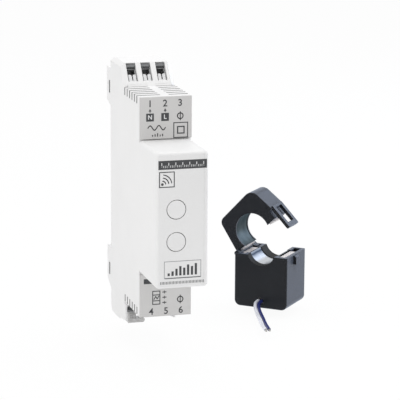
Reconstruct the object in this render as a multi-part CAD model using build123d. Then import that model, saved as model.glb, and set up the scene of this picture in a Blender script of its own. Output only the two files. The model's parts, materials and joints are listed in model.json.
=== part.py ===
from build123d import *
import math
import os

# Smart energy monitor: a one-module meter for a DIN rail and its split-core current clamp.
# Millimetres. X is the meter's width, +Y points back to the rail, +Z is up.
# The origin is the centre of the face that seats on the rail.

# Shared values
overrun = 1.0
seat_gap = 0.1
slide_gap = 0.25
joint_gap = 0.15

# Meter housing
module_width = 17.5
wall = 1.5
cover_thickness = 1.5
nose_half_height = 22.5
nose_depth = 62.2
step_depth = 41.3
top_step = 36.8
bottom_step = 37.5
housing_top = 44.0
top_flat_depth = 14.6
slant_depth = 20.4
housing_bottom = 43.6
bottom_flat_depth = 13.5
bottom_slant_depth = 20.2
rear_corner_radius = 1.6
skirt_drop = 2.0
skirt_flat_depth = 11.0
skirt_depth = 21.3
skirt_front_drop = 6.5
skirt_corner_radius = 2.4
skirt_thickness = 0.5
nose_edge_radius = 1.2
top_bevel = 1.3
lip_thickness = 0.8
lip_height = 1.5
lip_rear_depth = 24.0

# Feet behind the seat, with the windows for the snap arms
foot_depth = 5.4
upper_foot_low = 28.5
upper_foot_root = 27.0
upper_foot_high = 40.0
lower_foot_high = 23.4
lower_foot_low = 34.8
lower_foot_root = 38.0
foot_floor = 0.8
foot_wall = 1.1
snap_height = 4.4
snap_depth = 1.8
upper_snap_z = 33.4
upper_snap_y = 1.7
lower_snap_z = -31.3
lower_snap_y = 2.3
snap_recess = 0.12
snap_shank_depth = 1.0

# Louvres
louvre_count = 6
louvre_first_depth = 20.9
louvre_pitch = 3.3
louvre_width = 1.1
louvre_cut = 1.2
louvre_drop = 2.6
louvre_rib_low = -0.9
louvre_rib_high = 2.0

# Rail claws, for a rail 35 mm high with 1 mm lips
rail_height = 35.0
rail_lip = 1.0
claw_play = 0.25
claw_half_width = 3.0
claw_thickness = 1.15
claw_height = 2.9
claw_hook = 1.45
claw_groove_depth = 0.4

# Rail clip: a T-shaped slide with a spring window and a pull tab
clip_floor_depth = 2.4
clip_tongue_half_width = 4.0
clip_tongue_thickness = 0.9
clip_half_width = 3.0
clip_face_recess = 0.15
clip_top = 16.0
channel_side_wall = 1.2
spring_slot_half_width = 1.6
spring_slot_top = 26.6
spring_slot_bottom = 42.2
lug_top = 38.2
lug_height = 1.3
spring_strip = 0.35
spring_width = 1.2
spring_waves = 6
tab_bottom = 50.4
tab_left = -3.2
tab_right = 2.8
tab_back = 0.9
tab_drop = 0.25
tab_notch_left = -0.3
tab_bar_height = 1.5
tab_shoulder = 0.8
tab_slot_left = -2.7
tab_slot_right = -0.9
tab_slot_height = 0.8
rib_count = 4
rib_width = 0.35
rib_rise = 0.3

# Terminal plates
plate_thickness = 1.2
plate_gap = 0.4
peg_radius = 0.8
peg_length = 1.3
peg_spacing = 9.0

# Buttons
button_x = -2.0
button_upper_z = 3.7
button_lower_z = -7.0
button_radius = 3.05
button_hole_gap = 0.22
button_proud = 0.1
button_travel = 0.6
flange_radius = 4.0
flange_thickness = 1.0
stem_radius = 1.5
plunger_radius = 1.6
plunger_length = 2.9
switch_size = 6.0
switch_depth = 3.5
stem_length = 1.05

# Boards
board_thickness = 1.6
board_gap = 0.3
board_rear_depth = 4.6
board_top = 31.5
board_bottom = 30.8
key_board_margin = 2.2
key_board_left = -6.9

# Terminals: three along the top, three along the bottom
terminal_pitch = 5.1
terminal_centre_x = -0.3
entry_width = 3.3
entry_length = 7.15
entry_centre_share = 0.385
shoulder_top = 0.5
shoulder_gap = 0.15
cage_width = 3.5
cage_sheet = 0.35
cage_low = 3.95
cage_high = 2.2
cage_depth = 6.3
cage_start = 1.7
leaf_sheet = 0.4
leaf_width = 2.6
leaf_recess = 0.5
leaf_top = 0.7
leaf_leg = 5.0
notch_width = 1.0
notch_depth = 0.65
leaf_slit = 0.32
tail_width = 0.8
tail_sheet = 0.5
tail_pitch = 1.2
block_left = -7.1
block_right = 7.0
block_reach = 5.4
block_depth = 8.3

# Parts on the main board, each a length along Y, a height along Z and a rise from the board.
# The places of the controller, the radio and the antenna count back from the board's front edge.
transformer_size = (13.0, 12.6, 10.8)
transformer_place = (-14.6, -3.0)
transformer_leg = 2.6
film_cap_size = (12.0, 5.6, 10.4)
film_cap_place = (-17.0, 17.5)
bulk_cap_radius = 4.0
bulk_cap_height = 11.0
bulk_cap_place = (-29.0, 2.0)
output_cap_radius = 3.1
output_cap_height = 9.0
output_cap_place = (-29.0, -8.6)
varistor_radius = 4.2
varistor_thickness = 3.2
varistor_place = (-27.0, 20.0)
fuse_radius = 1.9
fuse_length = 8.6
fuse_place = (-31.6, 19.5)
controller_size = (9.0, 9.0, 1.2)
controller_place = (8.7, 8.0)
meter_chip_size = (6.4, 5.0, 1.5)
meter_chip_place = (-19.0, -21.0)
optocoupler_size = (6.4, 4.6, 3.4)
optocoupler_place = (-30.0, -19.0)
radio_size = (11.0, 14.0, 2.2)
radio_place = (9.1, -9.0)
antenna_radius = 0.5
antenna_rise = 4.2
antenna_length = 20.0
antenna_bend = 1.5
antenna_place = (2.9, -1.2)

# Current clamp, in its own frame: X across the front, Y back, Z up from the surface
clamp_x = 39.56
clamp_y = 11.15
clamp_yaw = -40.5
clamp_depth = 17.6
clamp_height = 19.4
clamp_wall = 1.3
clamp_corner_radius = 2.2
clamp_edge_radius = 0.7
window_radius = 5.5
window_rise = 1.8
window_lip = 1.2
lip_front_depth = 3.1
core_front = 3.2
core_depth = 9.4
pole_width = 2.35
pole_recess = 0.4
pole_gap = 0.06
liner_gap = 0.15
liner_sheet = 0.5
core_outer_margin = 1.6
core_yoke_bottom = 4.6
core_yoke_height = 2.8
bobbin_wall = 0.5
bobbin_flange = 0.55
winding_thickness = 1.1
clamp_cover_height = 1.2
clamp_cover_margin = 2.4
nub_front = 6.2
nub_width = 3.0
nub_rise = 1.1
nub_top = 0.3
nub_height = 3.1
nub_foot = 0.5
seal_front = 0.5
hinge_ear = 0.6

# Clamp jaw, drawn shut and then swung open about its trunnions
jaw_open_angle = 44.0
jaw_front = 2.4
jaw_depth = 11.0
jaw_height = 13.7
jaw_window_radius = 6.5
jaw_window_rise = 2.2
jaw_wall = 0.9
jaw_cheek = 0.7
jaw_corner_radius = 3.4
jaw_heel_radius = 2.4
jaw_heel_lean = 2.5
jaw_top_fall = 0.9
jaw_lean = 1.5
hinge_x = 0.6
hinge_drop = 0.2
knuckle_radius = 0.9
trunnion_radius = 0.45
trunnion_gap = 0.06
trunnion_length = 1.2
ear_wall = 0.4
pocket_gap = 0.3
loop_front = 3.4
loop_width = 8.6
loop_gap = 0.65
loop_sheet = 1.15
loop_proud = 0.5
loop_rise = 3.4
loop_root = 0.8
loop_reach = 5.6
loop_bar = 1.9
loop_window_width = 4.9
loop_window_top = 3.3
jaw_core_clear = 0.8
spring_leaf = 0.2
spring_leaf_width = 6.0

# Leads: where they leave the clamp, and the points of their routes on the surface
lead_diameter = 1.2
lead_pitch = 1.3
lead_exit_x = 10.0
lead_exit_z = 2.6
lead_hole_width = 3.2
lead_hole_sill = 1.5
tip_diameter = 0.75
tip_length = 1.6
lead_straight = 1.6
white_route = [(44.54, 1.64, -48.15), (43.85, -1.37, -48.98), (43.16, -5.47, -49.56), (42.34, -10.40, -49.75),
               (41.37, -15.40, -49.75), (40.62, -20.40, -49.75), (40.17, -25.10, -49.75)]
blue_route = [(45.54, 0.79, -48.15), (44.95, -2.25, -48.98), (44.40, -6.30, -49.56), (43.75, -11.10, -49.75),
              (42.80, -15.90, -49.75), (42.05, -20.60, -49.75), (41.55, -24.90, -49.75)]
bend_share = 0.45

half_width = module_width / 2
skirt_bottom = housing_bottom + skirt_drop
skirt_front_height = bottom_step + skirt_front_drop
body_step_depth = step_depth - plate_thickness
seam_x = half_width - cover_thickness
floor_z = -tab_bottom
board_x = seam_x - board_gap - board_thickness
rail_edge = rail_height / 2


def block(x0, x1, y0, y1, z0, z1):
    """A box between two corners."""
    middle = Pos((x0 + x1) / 2, (y0 + y1) / 2, (z0 + z1) / 2)
    return middle * Box(abs(x1 - x0), abs(y1 - y0), abs(z1 - z0))


def side_plate(points, x0, x1):
    """An outline in the Y-Z plane, thickened from x0 to x1."""
    face = make_face(Polyline(*points, close=True))
    return Pos(x0, 0, 0) * extrude(Plane.YZ * face, amount=x1 - x0)


def front_plate(face, y0, y1):
    """A face drawn in X and Z, thickened from y0 back to y1."""
    plane = Plane(origin=(0, y0, 0), x_dir=(1, 0, 0), z_dir=(0, -1, 0))
    return extrude(plane * face, amount=-(y1 - y0))


def rod(radius, start, end):
    """A straight round rod between two points."""
    line = Line(start, end)
    ring = Plane(origin=line @ 0, z_dir=line % 0) * Circle(radius)
    return extrude(ring, amount=line.length)


def board_part(place, size):
    """A box that stands on the main board: its middle in Y and Z, and its size."""
    length, height, rise = size
    y, z = place
    return block(board_x - rise, board_x - seat_gap, y - length / 2, y + length / 2, z - height / 2, z + height / 2)


def board_can(place, radius, rise):
    """A round can that stands on the main board."""
    y, z = place
    return rod(radius, (board_x - seat_gap, y, z), (board_x - rise, y, z))


# Housing
body_points = [(0, housing_top), (-top_flat_depth, housing_top), (-slant_depth, top_step),
               (-body_step_depth, top_step), (-body_step_depth, nose_half_height),
               (-nose_depth, nose_half_height), (-nose_depth, -nose_half_height),
               (-body_step_depth, -nose_half_height), (-body_step_depth, -bottom_step),
               (-bottom_slant_depth, -bottom_step), (-bottom_flat_depth, -housing_bottom), (0, -housing_bottom)]
body_face = make_face(Polyline(*body_points, close=True))
rear_corners = [v for v in body_face.vertices() if v.X > -seat_gap]
body_face = fillet(rear_corners, rear_corner_radius)
skirt_points = [(0, -bottom_step), (0, -skirt_bottom), (-skirt_flat_depth, -skirt_bottom),
                (-skirt_depth, -skirt_front_height), (-skirt_depth, -bottom_step)]
upper_foot_points = [(-wall, upper_foot_root), (0, upper_foot_root), (foot_depth, upper_foot_low),
                     (foot_depth, upper_foot_high), (-wall, upper_foot_high)]
lower_foot_points = [(-wall, -lower_foot_high), (foot_depth, -lower_foot_high), (foot_depth, -lower_foot_low),
                     (0, -lower_foot_root), (-wall, -lower_foot_root)]


def body_slab(face, x0, x1):
    return Pos(x0, 0, 0) * extrude(Plane.YZ * face, amount=x1 - x0)


def inner_face(clearance):
    """The outline of the hollow, smaller by a clearance."""
    return offset(body_face, amount=-(wall + clearance), kind=Kind.INTERSECTION)


def bevel(start, end, side):
    """A cutter along one of the housing's top side edges."""
    (y0, z0), (y1, z1) = start, end
    length = math.hypot(y1 - y0, z1 - z0)
    along = ((y1 - y0) / length, (z1 - z0) / length)
    frame = Plane(origin=(side * half_width, y0, z0), x_dir=(0, along[0], along[1]),
                  z_dir=(side, along[1], -along[0]))
    return frame * block(-overrun, length, -top_bevel - overrun, top_bevel + overrun,
                         -top_bevel * math.sqrt(0.5), top_bevel)


def make_outer():
    """The whole housing as one solid, with its soft edges."""
    outer = body_slab(body_face, -half_width, half_width)
    outer &= block(-half_width, half_width, -body_step_depth, rail_lip, -housing_bottom, housing_top)
    for side in (-1, 1):
        outer -= bevel(body_points[0], body_points[1], side)
        outer -= bevel(body_points[1], body_points[2], side)
    nose = block(-half_width, half_width, -nose_depth, -body_step_depth + wall, -nose_half_height, nose_half_height)
    soft = [e for e in nose.edges() if min((e @ 0).Y, (e @ 1).Y) < -nose_depth + seat_gap]
    outer += fillet(soft, nose_edge_radius)
    for points in (upper_foot_points, lower_foot_points):
        outer += side_plate(points, -half_width, half_width)
    for x0, x1 in ((-half_width, -half_width + skirt_thickness), (half_width - skirt_thickness, half_width)):
        outer += make_skirt(x0, x1)
    return outer


def make_skirt(x0, x1):
    """Thin skirt that a side wall sends down past the bottom."""
    skirt = side_plate(skirt_points, x0, x1)
    rear = [e for e in skirt.edges().filter_by(Axis.X) if (e @ 0).Y > -seat_gap]
    corner = [e for e in rear if (e @ 0).Z < -bottom_step - overrun]
    return fillet(corner, skirt_corner_radius)


def make_louvres():
    """Grooves across the two steps, each side of the middle rib, turned down the side walls."""
    cuts = []
    for i in range(louvre_count):
        y = -(louvre_first_depth + i * louvre_pitch)
        for x0, x1 in ((-half_width - overrun, louvre_rib_low), (louvre_rib_high, half_width + overrun)):
            cuts.append(block(x0, x1, y, y + louvre_width, top_step - louvre_cut, top_step + overrun))
            cuts.append(block(x0, x1, y, y + louvre_width, -bottom_step - overrun, -bottom_step + louvre_cut))
        for x0, x1 in ((-half_width - overrun, -half_width + louvre_cut),
                       (half_width - louvre_cut, half_width + overrun)):
            cuts.append(block(x0, x1, y, y + louvre_width, top_step - louvre_drop, top_step + overrun))
            cuts.append(block(x0, x1, y, y + louvre_width, -bottom_step - overrun, -bottom_step + louvre_drop))
    return cuts


upper_pocket = (upper_foot_low + foot_wall, upper_foot_high - foot_wall)
lower_pocket = (-lower_foot_low + foot_wall, -lower_foot_high - foot_wall)


def make_pockets(x0, x1):
    """The open backs of the two feet."""
    pockets = (upper_pocket, lower_pocket)
    return [block(x0, x1, foot_floor, foot_depth + overrun, low, high) for low, high in pockets]


def plate_pegs(z):
    """Where a terminal plate's two pegs go: X and Z."""
    return [(-peg_spacing / 2, z), (peg_spacing / 2, z)]


upper_peg_z = (nose_half_height + top_step) / 2
lower_peg_z = -(nose_half_height + bottom_step) / 2


def terminal_frame(sign, flat_depth, foot_depth_y, high, low):
    """Frame on a slanted face: X across, Y up the slope, Z out of the housing."""
    run, rise = foot_depth_y - flat_depth, high - low
    length = math.hypot(run, rise)
    middle = (0, -flat_depth - run * entry_centre_share, sign * (high - rise * entry_centre_share))
    return Plane(origin=middle, x_dir=(sign, 0, 0), z_dir=(0, -rise / length, sign * run / length))


upper_frame = terminal_frame(1, top_flat_depth, slant_depth, housing_top, top_step)
lower_frame = terminal_frame(-1, bottom_flat_depth, bottom_slant_depth, housing_bottom, bottom_step)


def terminal_x(index):
    """X of a terminal, counted from the left of its row."""
    return terminal_centre_x + (index - 1) * terminal_pitch


def local_x(index, top):
    return terminal_x(index) if top else -terminal_x(index)


def entry_cuts(frame, top):
    """Wire entries through a slanted face."""
    cuts = []
    for i in range(3):
        x = local_x(i, top)
        cuts.append(frame * block(x - entry_width / 2, x + entry_width / 2, -entry_length / 2, entry_length / 2,
                                  -wall - overrun, overrun))
    return cuts


def clip_channel():
    """The T-shaped channel for the rail clip, open at the back and at the bottom."""
    low = -skirt_bottom - overrun
    high = -clip_top + slide_gap
    wide = clip_tongue_half_width + slide_gap
    narrow = clip_half_width + slide_gap
    tongue_face = -clip_floor_depth + slide_gap + clip_tongue_thickness + slide_gap
    deep = block(-wide, wide, -clip_floor_depth, tongue_face, low, high)
    slot = block(-narrow, narrow, tongue_face - seat_gap, foot_depth + overrun, low, high)
    return [deep, slot]


def make_tray(outer):
    """Left wall, nose, steps, feet, rail seat and fixed claw."""
    tray = outer & block(-half_width - overrun, seam_x, -nose_depth - overrun, foot_depth + overrun,
                         -skirt_bottom - overrun, housing_top + overrun)
    tray -= body_slab(inner_face(0), -half_width + wall, seam_x + overrun)
    channel_half = clip_tongue_half_width + slide_gap + channel_side_wall
    tray += block(-channel_half, channel_half, -clip_floor_depth - wall, -seat_gap,
                  -housing_bottom + seat_gap, -clip_top + slide_gap + wall)
    for cut in make_louvres() + make_pockets(-half_width + wall, seam_x + overrun) + clip_channel():
        tray -= cut
    for cut in entry_cuts(upper_frame, True) + entry_cuts(lower_frame, False):
        tray -= cut
    lug = block(-spring_slot_half_width + slide_gap, spring_slot_half_width - slide_gap,
                -clip_floor_depth - seat_gap, -clip_face_recess - slide_gap, -lug_top - lug_height, -lug_top)
    tray += lug
    tray += fixed_claw()
    groove = block(-claw_half_width - slide_gap, claw_half_width + slide_gap, -claw_groove_depth, rail_lip,
                   rail_edge + claw_play - claw_hook - slide_gap, rail_edge + claw_play)
    tray -= groove
    for z in (button_upper_z, button_lower_z):
        tray -= rod(button_radius + button_hole_gap, (button_x, -nose_depth - overrun, z),
                    (button_x, -nose_depth + wall + overrun, z))
    for x, z in plate_pegs(upper_peg_z) + plate_pegs(lower_peg_z):
        tray -= rod(peg_radius + joint_gap, (x, -body_step_depth - overrun, z),
                    (x, -body_step_depth + peg_length + joint_gap, z))
    for y, z in snap_places:
        tray -= snap_window(y, z, -half_width - overrun, -half_width + wall + overrun)
    return tray


snap_places = ((upper_snap_y, upper_snap_z), (lower_snap_y, lower_snap_z))


def snap_window(y, z, x0, x1):
    """A slit through one wall of a foot."""
    return block(x0, x1, y - snap_depth / 2, y + snap_depth / 2, z - snap_height / 2, z + snap_height / 2)


def make_snap_key(y, z, pocket):
    """Key through both walls of a foot, with a taller shank in the pocket between them."""
    half_y, half_z = snap_depth / 2 - joint_gap, snap_height / 2 - joint_gap
    key = block(-half_width + snap_recess, half_width - snap_recess, y - half_y, y + half_y, z - half_z, z + half_z)
    inner = half_width - wall - joint_gap
    low, high = pocket
    return key + block(-inner, inner, y - half_y, y - half_y + snap_shank_depth, low + joint_gap, high - joint_gap)


def claw_outline(sign):
    """Side view of a rail claw, with its hook behind the rail's lip."""
    root = sign * (rail_edge + claw_play)
    back = rail_lip + joint_gap + claw_thickness
    return [(-seat_gap, root), (rail_lip + joint_gap, root), (rail_lip + joint_gap, root - sign * claw_hook),
            (back, root - sign * claw_hook), (back, root + sign * claw_height / 2),
            (rail_lip, root + sign * claw_height), (-seat_gap, root + sign * claw_height)]


def fixed_claw():
    return side_plate(claw_outline(1), -claw_half_width, claw_half_width)


def make_cover(outer):
    """Right wall with its locating lip and the windows for the snap keys."""
    cover = outer & block(seam_x, half_width + overrun, -nose_depth - overrun, foot_depth + overrun,
                          -skirt_bottom - overrun, housing_top + overrun)
    for cut in make_louvres():
        cover -= cut
    ring = inner_face(joint_gap)
    hole = inner_face(joint_gap + lip_thickness)
    lip = body_slab(ring, seam_x - lip_height, seam_x + seat_gap)
    lip -= body_slab(hole, seam_x - lip_height - overrun, seam_x + overrun)
    lip &= block(seam_x - lip_height - overrun, half_width, -nose_depth, -lip_rear_depth,
                 -housing_bottom, housing_top)
    for piece in lip.solids():
        cover += piece
    for y, z in snap_places:
        cover -= snap_window(y, z, seam_x - overrun, half_width + overrun)
    return cover


def make_plate(low, high, peg_z):
    """A printed terminal plate with its two pegs."""
    plate = block(-half_width, half_width, -step_depth, -body_step_depth, low, high)
    for x, z in plate_pegs(peg_z):
        plate += rod(peg_radius, (x, -body_step_depth - seat_gap, z), (x, -body_step_depth + peg_length, z))
    return plate


# Rail clip
def make_clip():
    """Slide with its claw, spring window and ribbed pull tab."""
    floor_y = -clip_floor_depth + slide_gap
    tongue_y = floor_y + clip_tongue_thickness
    face_y = -clip_face_recess
    low = -skirt_bottom
    clip = block(-clip_tongue_half_width, clip_tongue_half_width, floor_y, tongue_y, low, -clip_top)
    clip += block(-clip_half_width, clip_half_width, floor_y, face_y, low, -clip_top)
    clip += side_plate(claw_outline(-1)[1:-1] + [(face_y - seat_gap, -rail_edge - claw_play - claw_height),
                                                (face_y - seat_gap, -rail_edge - claw_play)],
                       -claw_half_width, claw_half_width)
    clip -= block(-spring_slot_half_width, spring_slot_half_width, -clip_floor_depth, rail_lip,
                  -spring_slot_bottom, -spring_slot_top)
    tab_top = low - tab_drop
    tab = block(tab_left, tab_right, floor_y, tab_back, -tab_bottom, tab_top)
    tab += block(-clip_half_width, tab_right, floor_y, face_y, tab_top - seat_gap, low + seat_gap)
    tab -= block(tab_notch_left, tab_right + overrun, floor_y - overrun, tab_back + overrun,
                 -tab_bottom + tab_bar_height, tab_top - tab_shoulder)
    slot_top = tab_top - tab_shoulder / 2
    tab -= block(tab_slot_left, tab_slot_right, floor_y - overrun, tab_back + overrun,
                 slot_top - tab_slot_height, slot_top)
    rib_top = slot_top - tab_slot_height - rib_width
    rib_bottom = -tab_bottom + tab_bar_height - rib_width
    span = tab_notch_left - tab_left
    for i in range(rib_count):
        x = tab_left + span * (i + 1) / (rib_count + 1)
        tab += block(x - rib_width / 2, x + rib_width / 2, floor_y - rib_rise, floor_y + seat_gap,
                     rib_bottom, rib_top)
    tab += block(tab_left, tab_right - rib_rise, floor_y - rib_rise, floor_y + seat_gap,
                 -tab_bottom, -tab_bottom + tab_bar_height)
    ends = [e for e in tab.edges().filter_by(Axis.Y) if (e @ 0).X > tab_right - seat_gap
            and (e @ 0).Z < -tab_bottom + tab_bar_height + seat_gap]
    tab = fillet(ends, tab_bar_height * bend_share)
    return clip + tab


def make_clip_spring():
    """A flat strip bent to and fro, from the lug up to the top of the slide's window."""
    low, high = -lug_top + joint_gap, -spring_slot_top - joint_gap
    reach = spring_slot_half_width - joint_gap - spring_strip
    step = (high - low - spring_strip) / (spring_waves * 2)
    points = [(0, low + spring_strip / 2)]
    for i in range(spring_waves * 2 - 1):
        side = reach if i % 2 == 0 else -reach
        points.append((side, low + spring_strip / 2 + (i + 1) * step))
    points.append((0, high - spring_strip / 2))
    path = Polyline(*points)
    strip = trace(path, spring_strip)
    return front_plate(strip, -clip_face_recess - slide_gap - spring_width, -clip_face_recess - slide_gap)


# Buttons and switches
def make_button(z):
    """Round key: cap, retaining flange and stem."""
    face = -nose_depth - button_proud
    flange_front = -nose_depth + wall + joint_gap
    cap = rod(button_radius, (button_x, face, z), (button_x, flange_front + seat_gap, z))
    rim = [e for e in cap.edges().filter_by(GeomType.CIRCLE) if (e @ 0).Y < face + seat_gap / 2]
    cap = fillet(rim, button_hole_gap)
    cap += rod(flange_radius, (button_x, flange_front, z), (button_x, flange_front + flange_thickness, z))
    cap += rod(stem_radius, (button_x, flange_front + flange_thickness / 2, z), (button_x, plunger_front, z))
    return cap


switch_front = -nose_depth + wall + joint_gap + flange_thickness + button_travel + stem_length
plunger_front = switch_front - button_travel - slide_gap * 2
key_board_y = switch_front + switch_depth
lip_inset = wall + joint_gap + lip_thickness + slide_gap + seat_gap
board_nose_half = nose_half_height - lip_inset
board_neck_depth = body_step_depth - lip_inset
board_front = key_board_y + board_thickness + seat_gap


def behind_front(place):
    """A place that counts back from the board's front edge, in Y and Z."""
    back, z = place
    return board_front + back, z


def make_plunger(z):
    front = plunger_front + seat_gap / 2
    return rod(plunger_radius, (button_x, front, z), (button_x, plunger_front + plunger_length, z))


def make_switch(z):
    """Tact switch body, hollow for its plunger."""
    half = switch_size / 2
    body = block(button_x - half, button_x + half, switch_front, key_board_y - seat_gap, z - half, z + half)
    depth = plunger_front + plunger_length + button_travel + slide_gap
    return body - rod(plunger_radius + joint_gap, (button_x, switch_front - overrun, z), (button_x, depth, z))


def make_key_board():
    half = switch_size / 2 + key_board_margin
    return block(key_board_left, board_x - seat_gap, key_board_y, key_board_y + board_thickness,
                 button_lower_z - half, button_upper_z + half)


def make_main_board():
    tongue = key_board_y + seat_gap
    half = switch_size / 2
    points = [(-board_rear_depth, -board_bottom), (-board_neck_depth, -board_bottom),
              (-board_neck_depth, -board_nose_half), (board_front, -board_nose_half), (board_front, board_nose_half),
              (-board_neck_depth, board_nose_half), (-board_neck_depth, board_top), (-board_rear_depth, board_top)]
    board = side_plate(points, board_x, board_x + board_thickness)
    board += block(board_x, board_x + board_thickness, tongue, board_front + seat_gap,
                   button_lower_z - half, button_upper_z + half)
    return board


# Terminals
def make_cage(index, top):
    """Clamping cage: an open sheet-metal box with a soldered tail that reaches the board."""
    frame = upper_frame if top else lower_frame
    x = local_x(index, top)
    outer = block(x - cage_width / 2, x + cage_width / 2, -cage_low, cage_high,
                  -cage_start - cage_depth, -cage_start)
    inner = block(x - cage_width / 2 + cage_sheet, x + cage_width / 2 - cage_sheet, -cage_low + cage_sheet,
                  cage_high - cage_sheet, -cage_start - cage_depth + cage_sheet, overrun)
    cage = frame * (outer - inner)
    share = -cage_low / 2 + index * tail_pitch
    root = frame.from_local_coords(Vector(x, share, -cage_start - cage_depth + cage_sheet / 2))
    world_x = terminal_x(index)
    bar = board_top - tail_width * 2 if top else -board_bottom + tail_width * 2
    end = root.Z
    half = tail_sheet / 2
    cage += block(world_x - tail_width / 2, world_x + tail_width / 2, root.Y - half, root.Y + half,
                  min(bar, end), max(bar, end))
    cage += block(world_x - tail_width / 2, board_x - seat_gap / 2, root.Y - half, root.Y + half,
                  bar - half, bar + half)
    return cage


def make_leaf(index, top):
    """Clamping leaf with its notch and slit, and the leg that holds it in the cage."""
    frame = upper_frame if top else lower_frame
    x = local_x(index, top)
    low = -cage_low + cage_sheet + seat_gap
    high = -leaf_top
    half = leaf_width / 2
    outline = Polyline((x - half, low), (x + half, low), (x + half, high), (x + notch_width / 2, high),
                       (x, high - notch_depth), (x - notch_width / 2, high), (x - half, high), close=True)
    leaf = Pos(0, 0, -leaf_recess - leaf_sheet) * extrude(make_face(outline), amount=leaf_sheet)
    leaf -= block(x - leaf_slit / 2, x + leaf_slit / 2, low + leaf_sheet + seat_gap, high, -leaf_recess - leaf_sheet * 2,
                  overrun)
    leaf += block(x - half, x + half, low, low + leaf_sheet, -leaf_leg, -leaf_recess)
    return frame * leaf


def make_terminal_block(top):
    """Insulating block around three cages, shaped to the hollow."""
    frame = upper_frame if top else lower_frame
    left, right = (block_left, block_right) if top else (-block_right, -block_left)
    body = frame * block(left, right, -block_reach, block_reach, -block_depth, -cage_start)
    body &= body_slab(inner_face(joint_gap), -half_width + wall + seat_gap, seam_x - seat_gap)
    for i in range(3):
        x = local_x(i, top)
        pocket = block(x - cage_width / 2 - seat_gap, x + cage_width / 2 + seat_gap, -cage_low - seat_gap,
                       cage_high + seat_gap, -block_depth - overrun, overrun)
        body -= frame * pocket
    body = max(body.solids(), key=lambda piece: piece.volume)
    for i in range(3):
        x = local_x(i, top)
        half = entry_width / 2 - shoulder_gap
        body += frame * block(x - half, x + half, cage_high + seat_gap, entry_length / 2 - shoulder_gap,
                              -cage_start - seat_gap, -shoulder_top)
    return body


# Current clamp
clamp_place = Location((clamp_x, clamp_y, floor_z), (0, 0, clamp_yaw))
window_z = clamp_height + window_rise
jaw_window_z = clamp_height + jaw_window_rise
core_back = core_front + core_depth
jaw_back = jaw_front + jaw_depth
liner_build = liner_gap + liner_sheet
base_leg_inner = window_radius + liner_build + seat_gap
window_x = base_leg_inner + pole_width + core_outer_margin
clamp_width = window_x * 2
loop_outer_x = clamp_width + loop_gap + loop_sheet
jaw_leg_inner = jaw_window_radius + liner_build + seat_gap
hinge_z = clamp_height - hinge_drop
jaw_base = clamp_height + joint_gap
jaw_top = clamp_height + jaw_height
jaw_core_top = jaw_top - jaw_top_fall - jaw_wall - jaw_core_clear
jaw_turn = Pos(hinge_x, 0, hinge_z) * Rot(0, -jaw_open_angle, 0) * Pos(-hinge_x, 0, -hinge_z)


def across(radius, y0, y1, x=window_x, z=window_z):
    """A round bar along Y."""
    return rod(radius, (x, y0, z), (x, y1, z))


def half_sleeve(up):
    """The bright half sleeve that lines the window between the poles."""
    radius, z = (jaw_window_radius, jaw_window_z) if up else (window_radius, window_z)
    sleeve = across(radius + liner_build, core_front, core_back, z=z)
    sleeve -= across(radius + liner_gap, core_front - overrun, core_back + overrun, z=z)
    if up:
        keep = block(0, clamp_width, 0, clamp_depth, jaw_base, jaw_top)
    else:
        keep = block(0, clamp_width, 0, clamp_depth, 0, clamp_height - seat_gap)
    return sleeve & keep


def make_base_shell():
    shell = block(0, clamp_width, 0, clamp_depth, 0, clamp_height)
    bottom = [e for e in shell.edges().filter_by(Axis.Y) if (e @ 0).Z < seat_gap]
    shell = fillet(bottom, clamp_corner_radius)
    upright = [e for e in shell.edges().filter_by(Axis.Z)]
    shell = fillet(upright, clamp_edge_radius)
    hollow_x0, hollow_x1 = clamp_wall, clamp_width - clamp_wall
    hollow_y0, hollow_y1 = clamp_wall, clamp_depth - clamp_wall
    shell -= block(hollow_x0, hollow_x1, hollow_y0, hollow_y1, clamp_cover_height + seat_gap * 2, clamp_height + overrun)
    shell -= block(clamp_cover_margin, clamp_width - clamp_cover_margin, hollow_y0, hollow_y1, -overrun,
                   clamp_cover_height + overrun)
    for y0, y1 in ((clamp_wall - seat_gap, lip_front_depth), (core_back + seat_gap, hollow_y1 + seat_gap)):
        lip = across(window_radius + window_lip, y0, y1)
        shell += lip & block(0, clamp_width, y0, y1, 0, clamp_height)
    shell -= across(window_radius, -overrun, clamp_depth + overrun)
    front_ear, back_ear = (hinge_ear, jaw_front - pocket_gap), (jaw_back + pocket_gap, clamp_depth - hinge_ear)
    ear = trunnion_radius + trunnion_gap + ear_wall
    for y0, y1 in (front_ear, back_ear):
        shell += block(clamp_wall - seat_gap, hinge_x + knuckle_radius + clamp_wall, y0, y1,
                       hinge_z - ear, clamp_height)
        shell += across(ear, y0, y1, hinge_x, hinge_z)
    shell -= block(-overrun, hinge_x + knuckle_radius + pocket_gap, jaw_front - pocket_gap, jaw_back + pocket_gap,
                   hinge_z - knuckle_radius - pocket_gap, clamp_height + overrun)
    hole = trunnion_radius + trunnion_gap
    shell -= across(hole, jaw_front - pocket_gap - trunnion_length, jaw_front, hinge_x, hinge_z)
    shell -= across(hole, jaw_back, jaw_back + pocket_gap + trunnion_length, hinge_x, hinge_z)
    shell -= lead_hole()
    nub_z = clamp_height - nub_top
    nub_face = make_face(Polyline((clamp_width - seat_gap, nub_z), (clamp_width + nub_rise - nub_foot, nub_z),
                                  (clamp_width + nub_rise, nub_z - nub_foot),
                                  (clamp_width + nub_rise, nub_z - nub_height),
                                  (clamp_width - seat_gap, nub_z - nub_height), close=True))
    shell += front_plate(nub_face, nub_front, nub_front + nub_width)
    return shell


def lead_hole():
    """Arched hole low in the front, where the leads leave."""
    half = lead_hole_width / 2
    arch = across(half, -overrun, clamp_wall + overrun, lead_exit_x, lead_exit_z)
    return arch + block(lead_exit_x - half, lead_exit_x + half, -overrun, clamp_wall + overrun,
                        lead_hole_sill, lead_exit_z)


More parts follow.
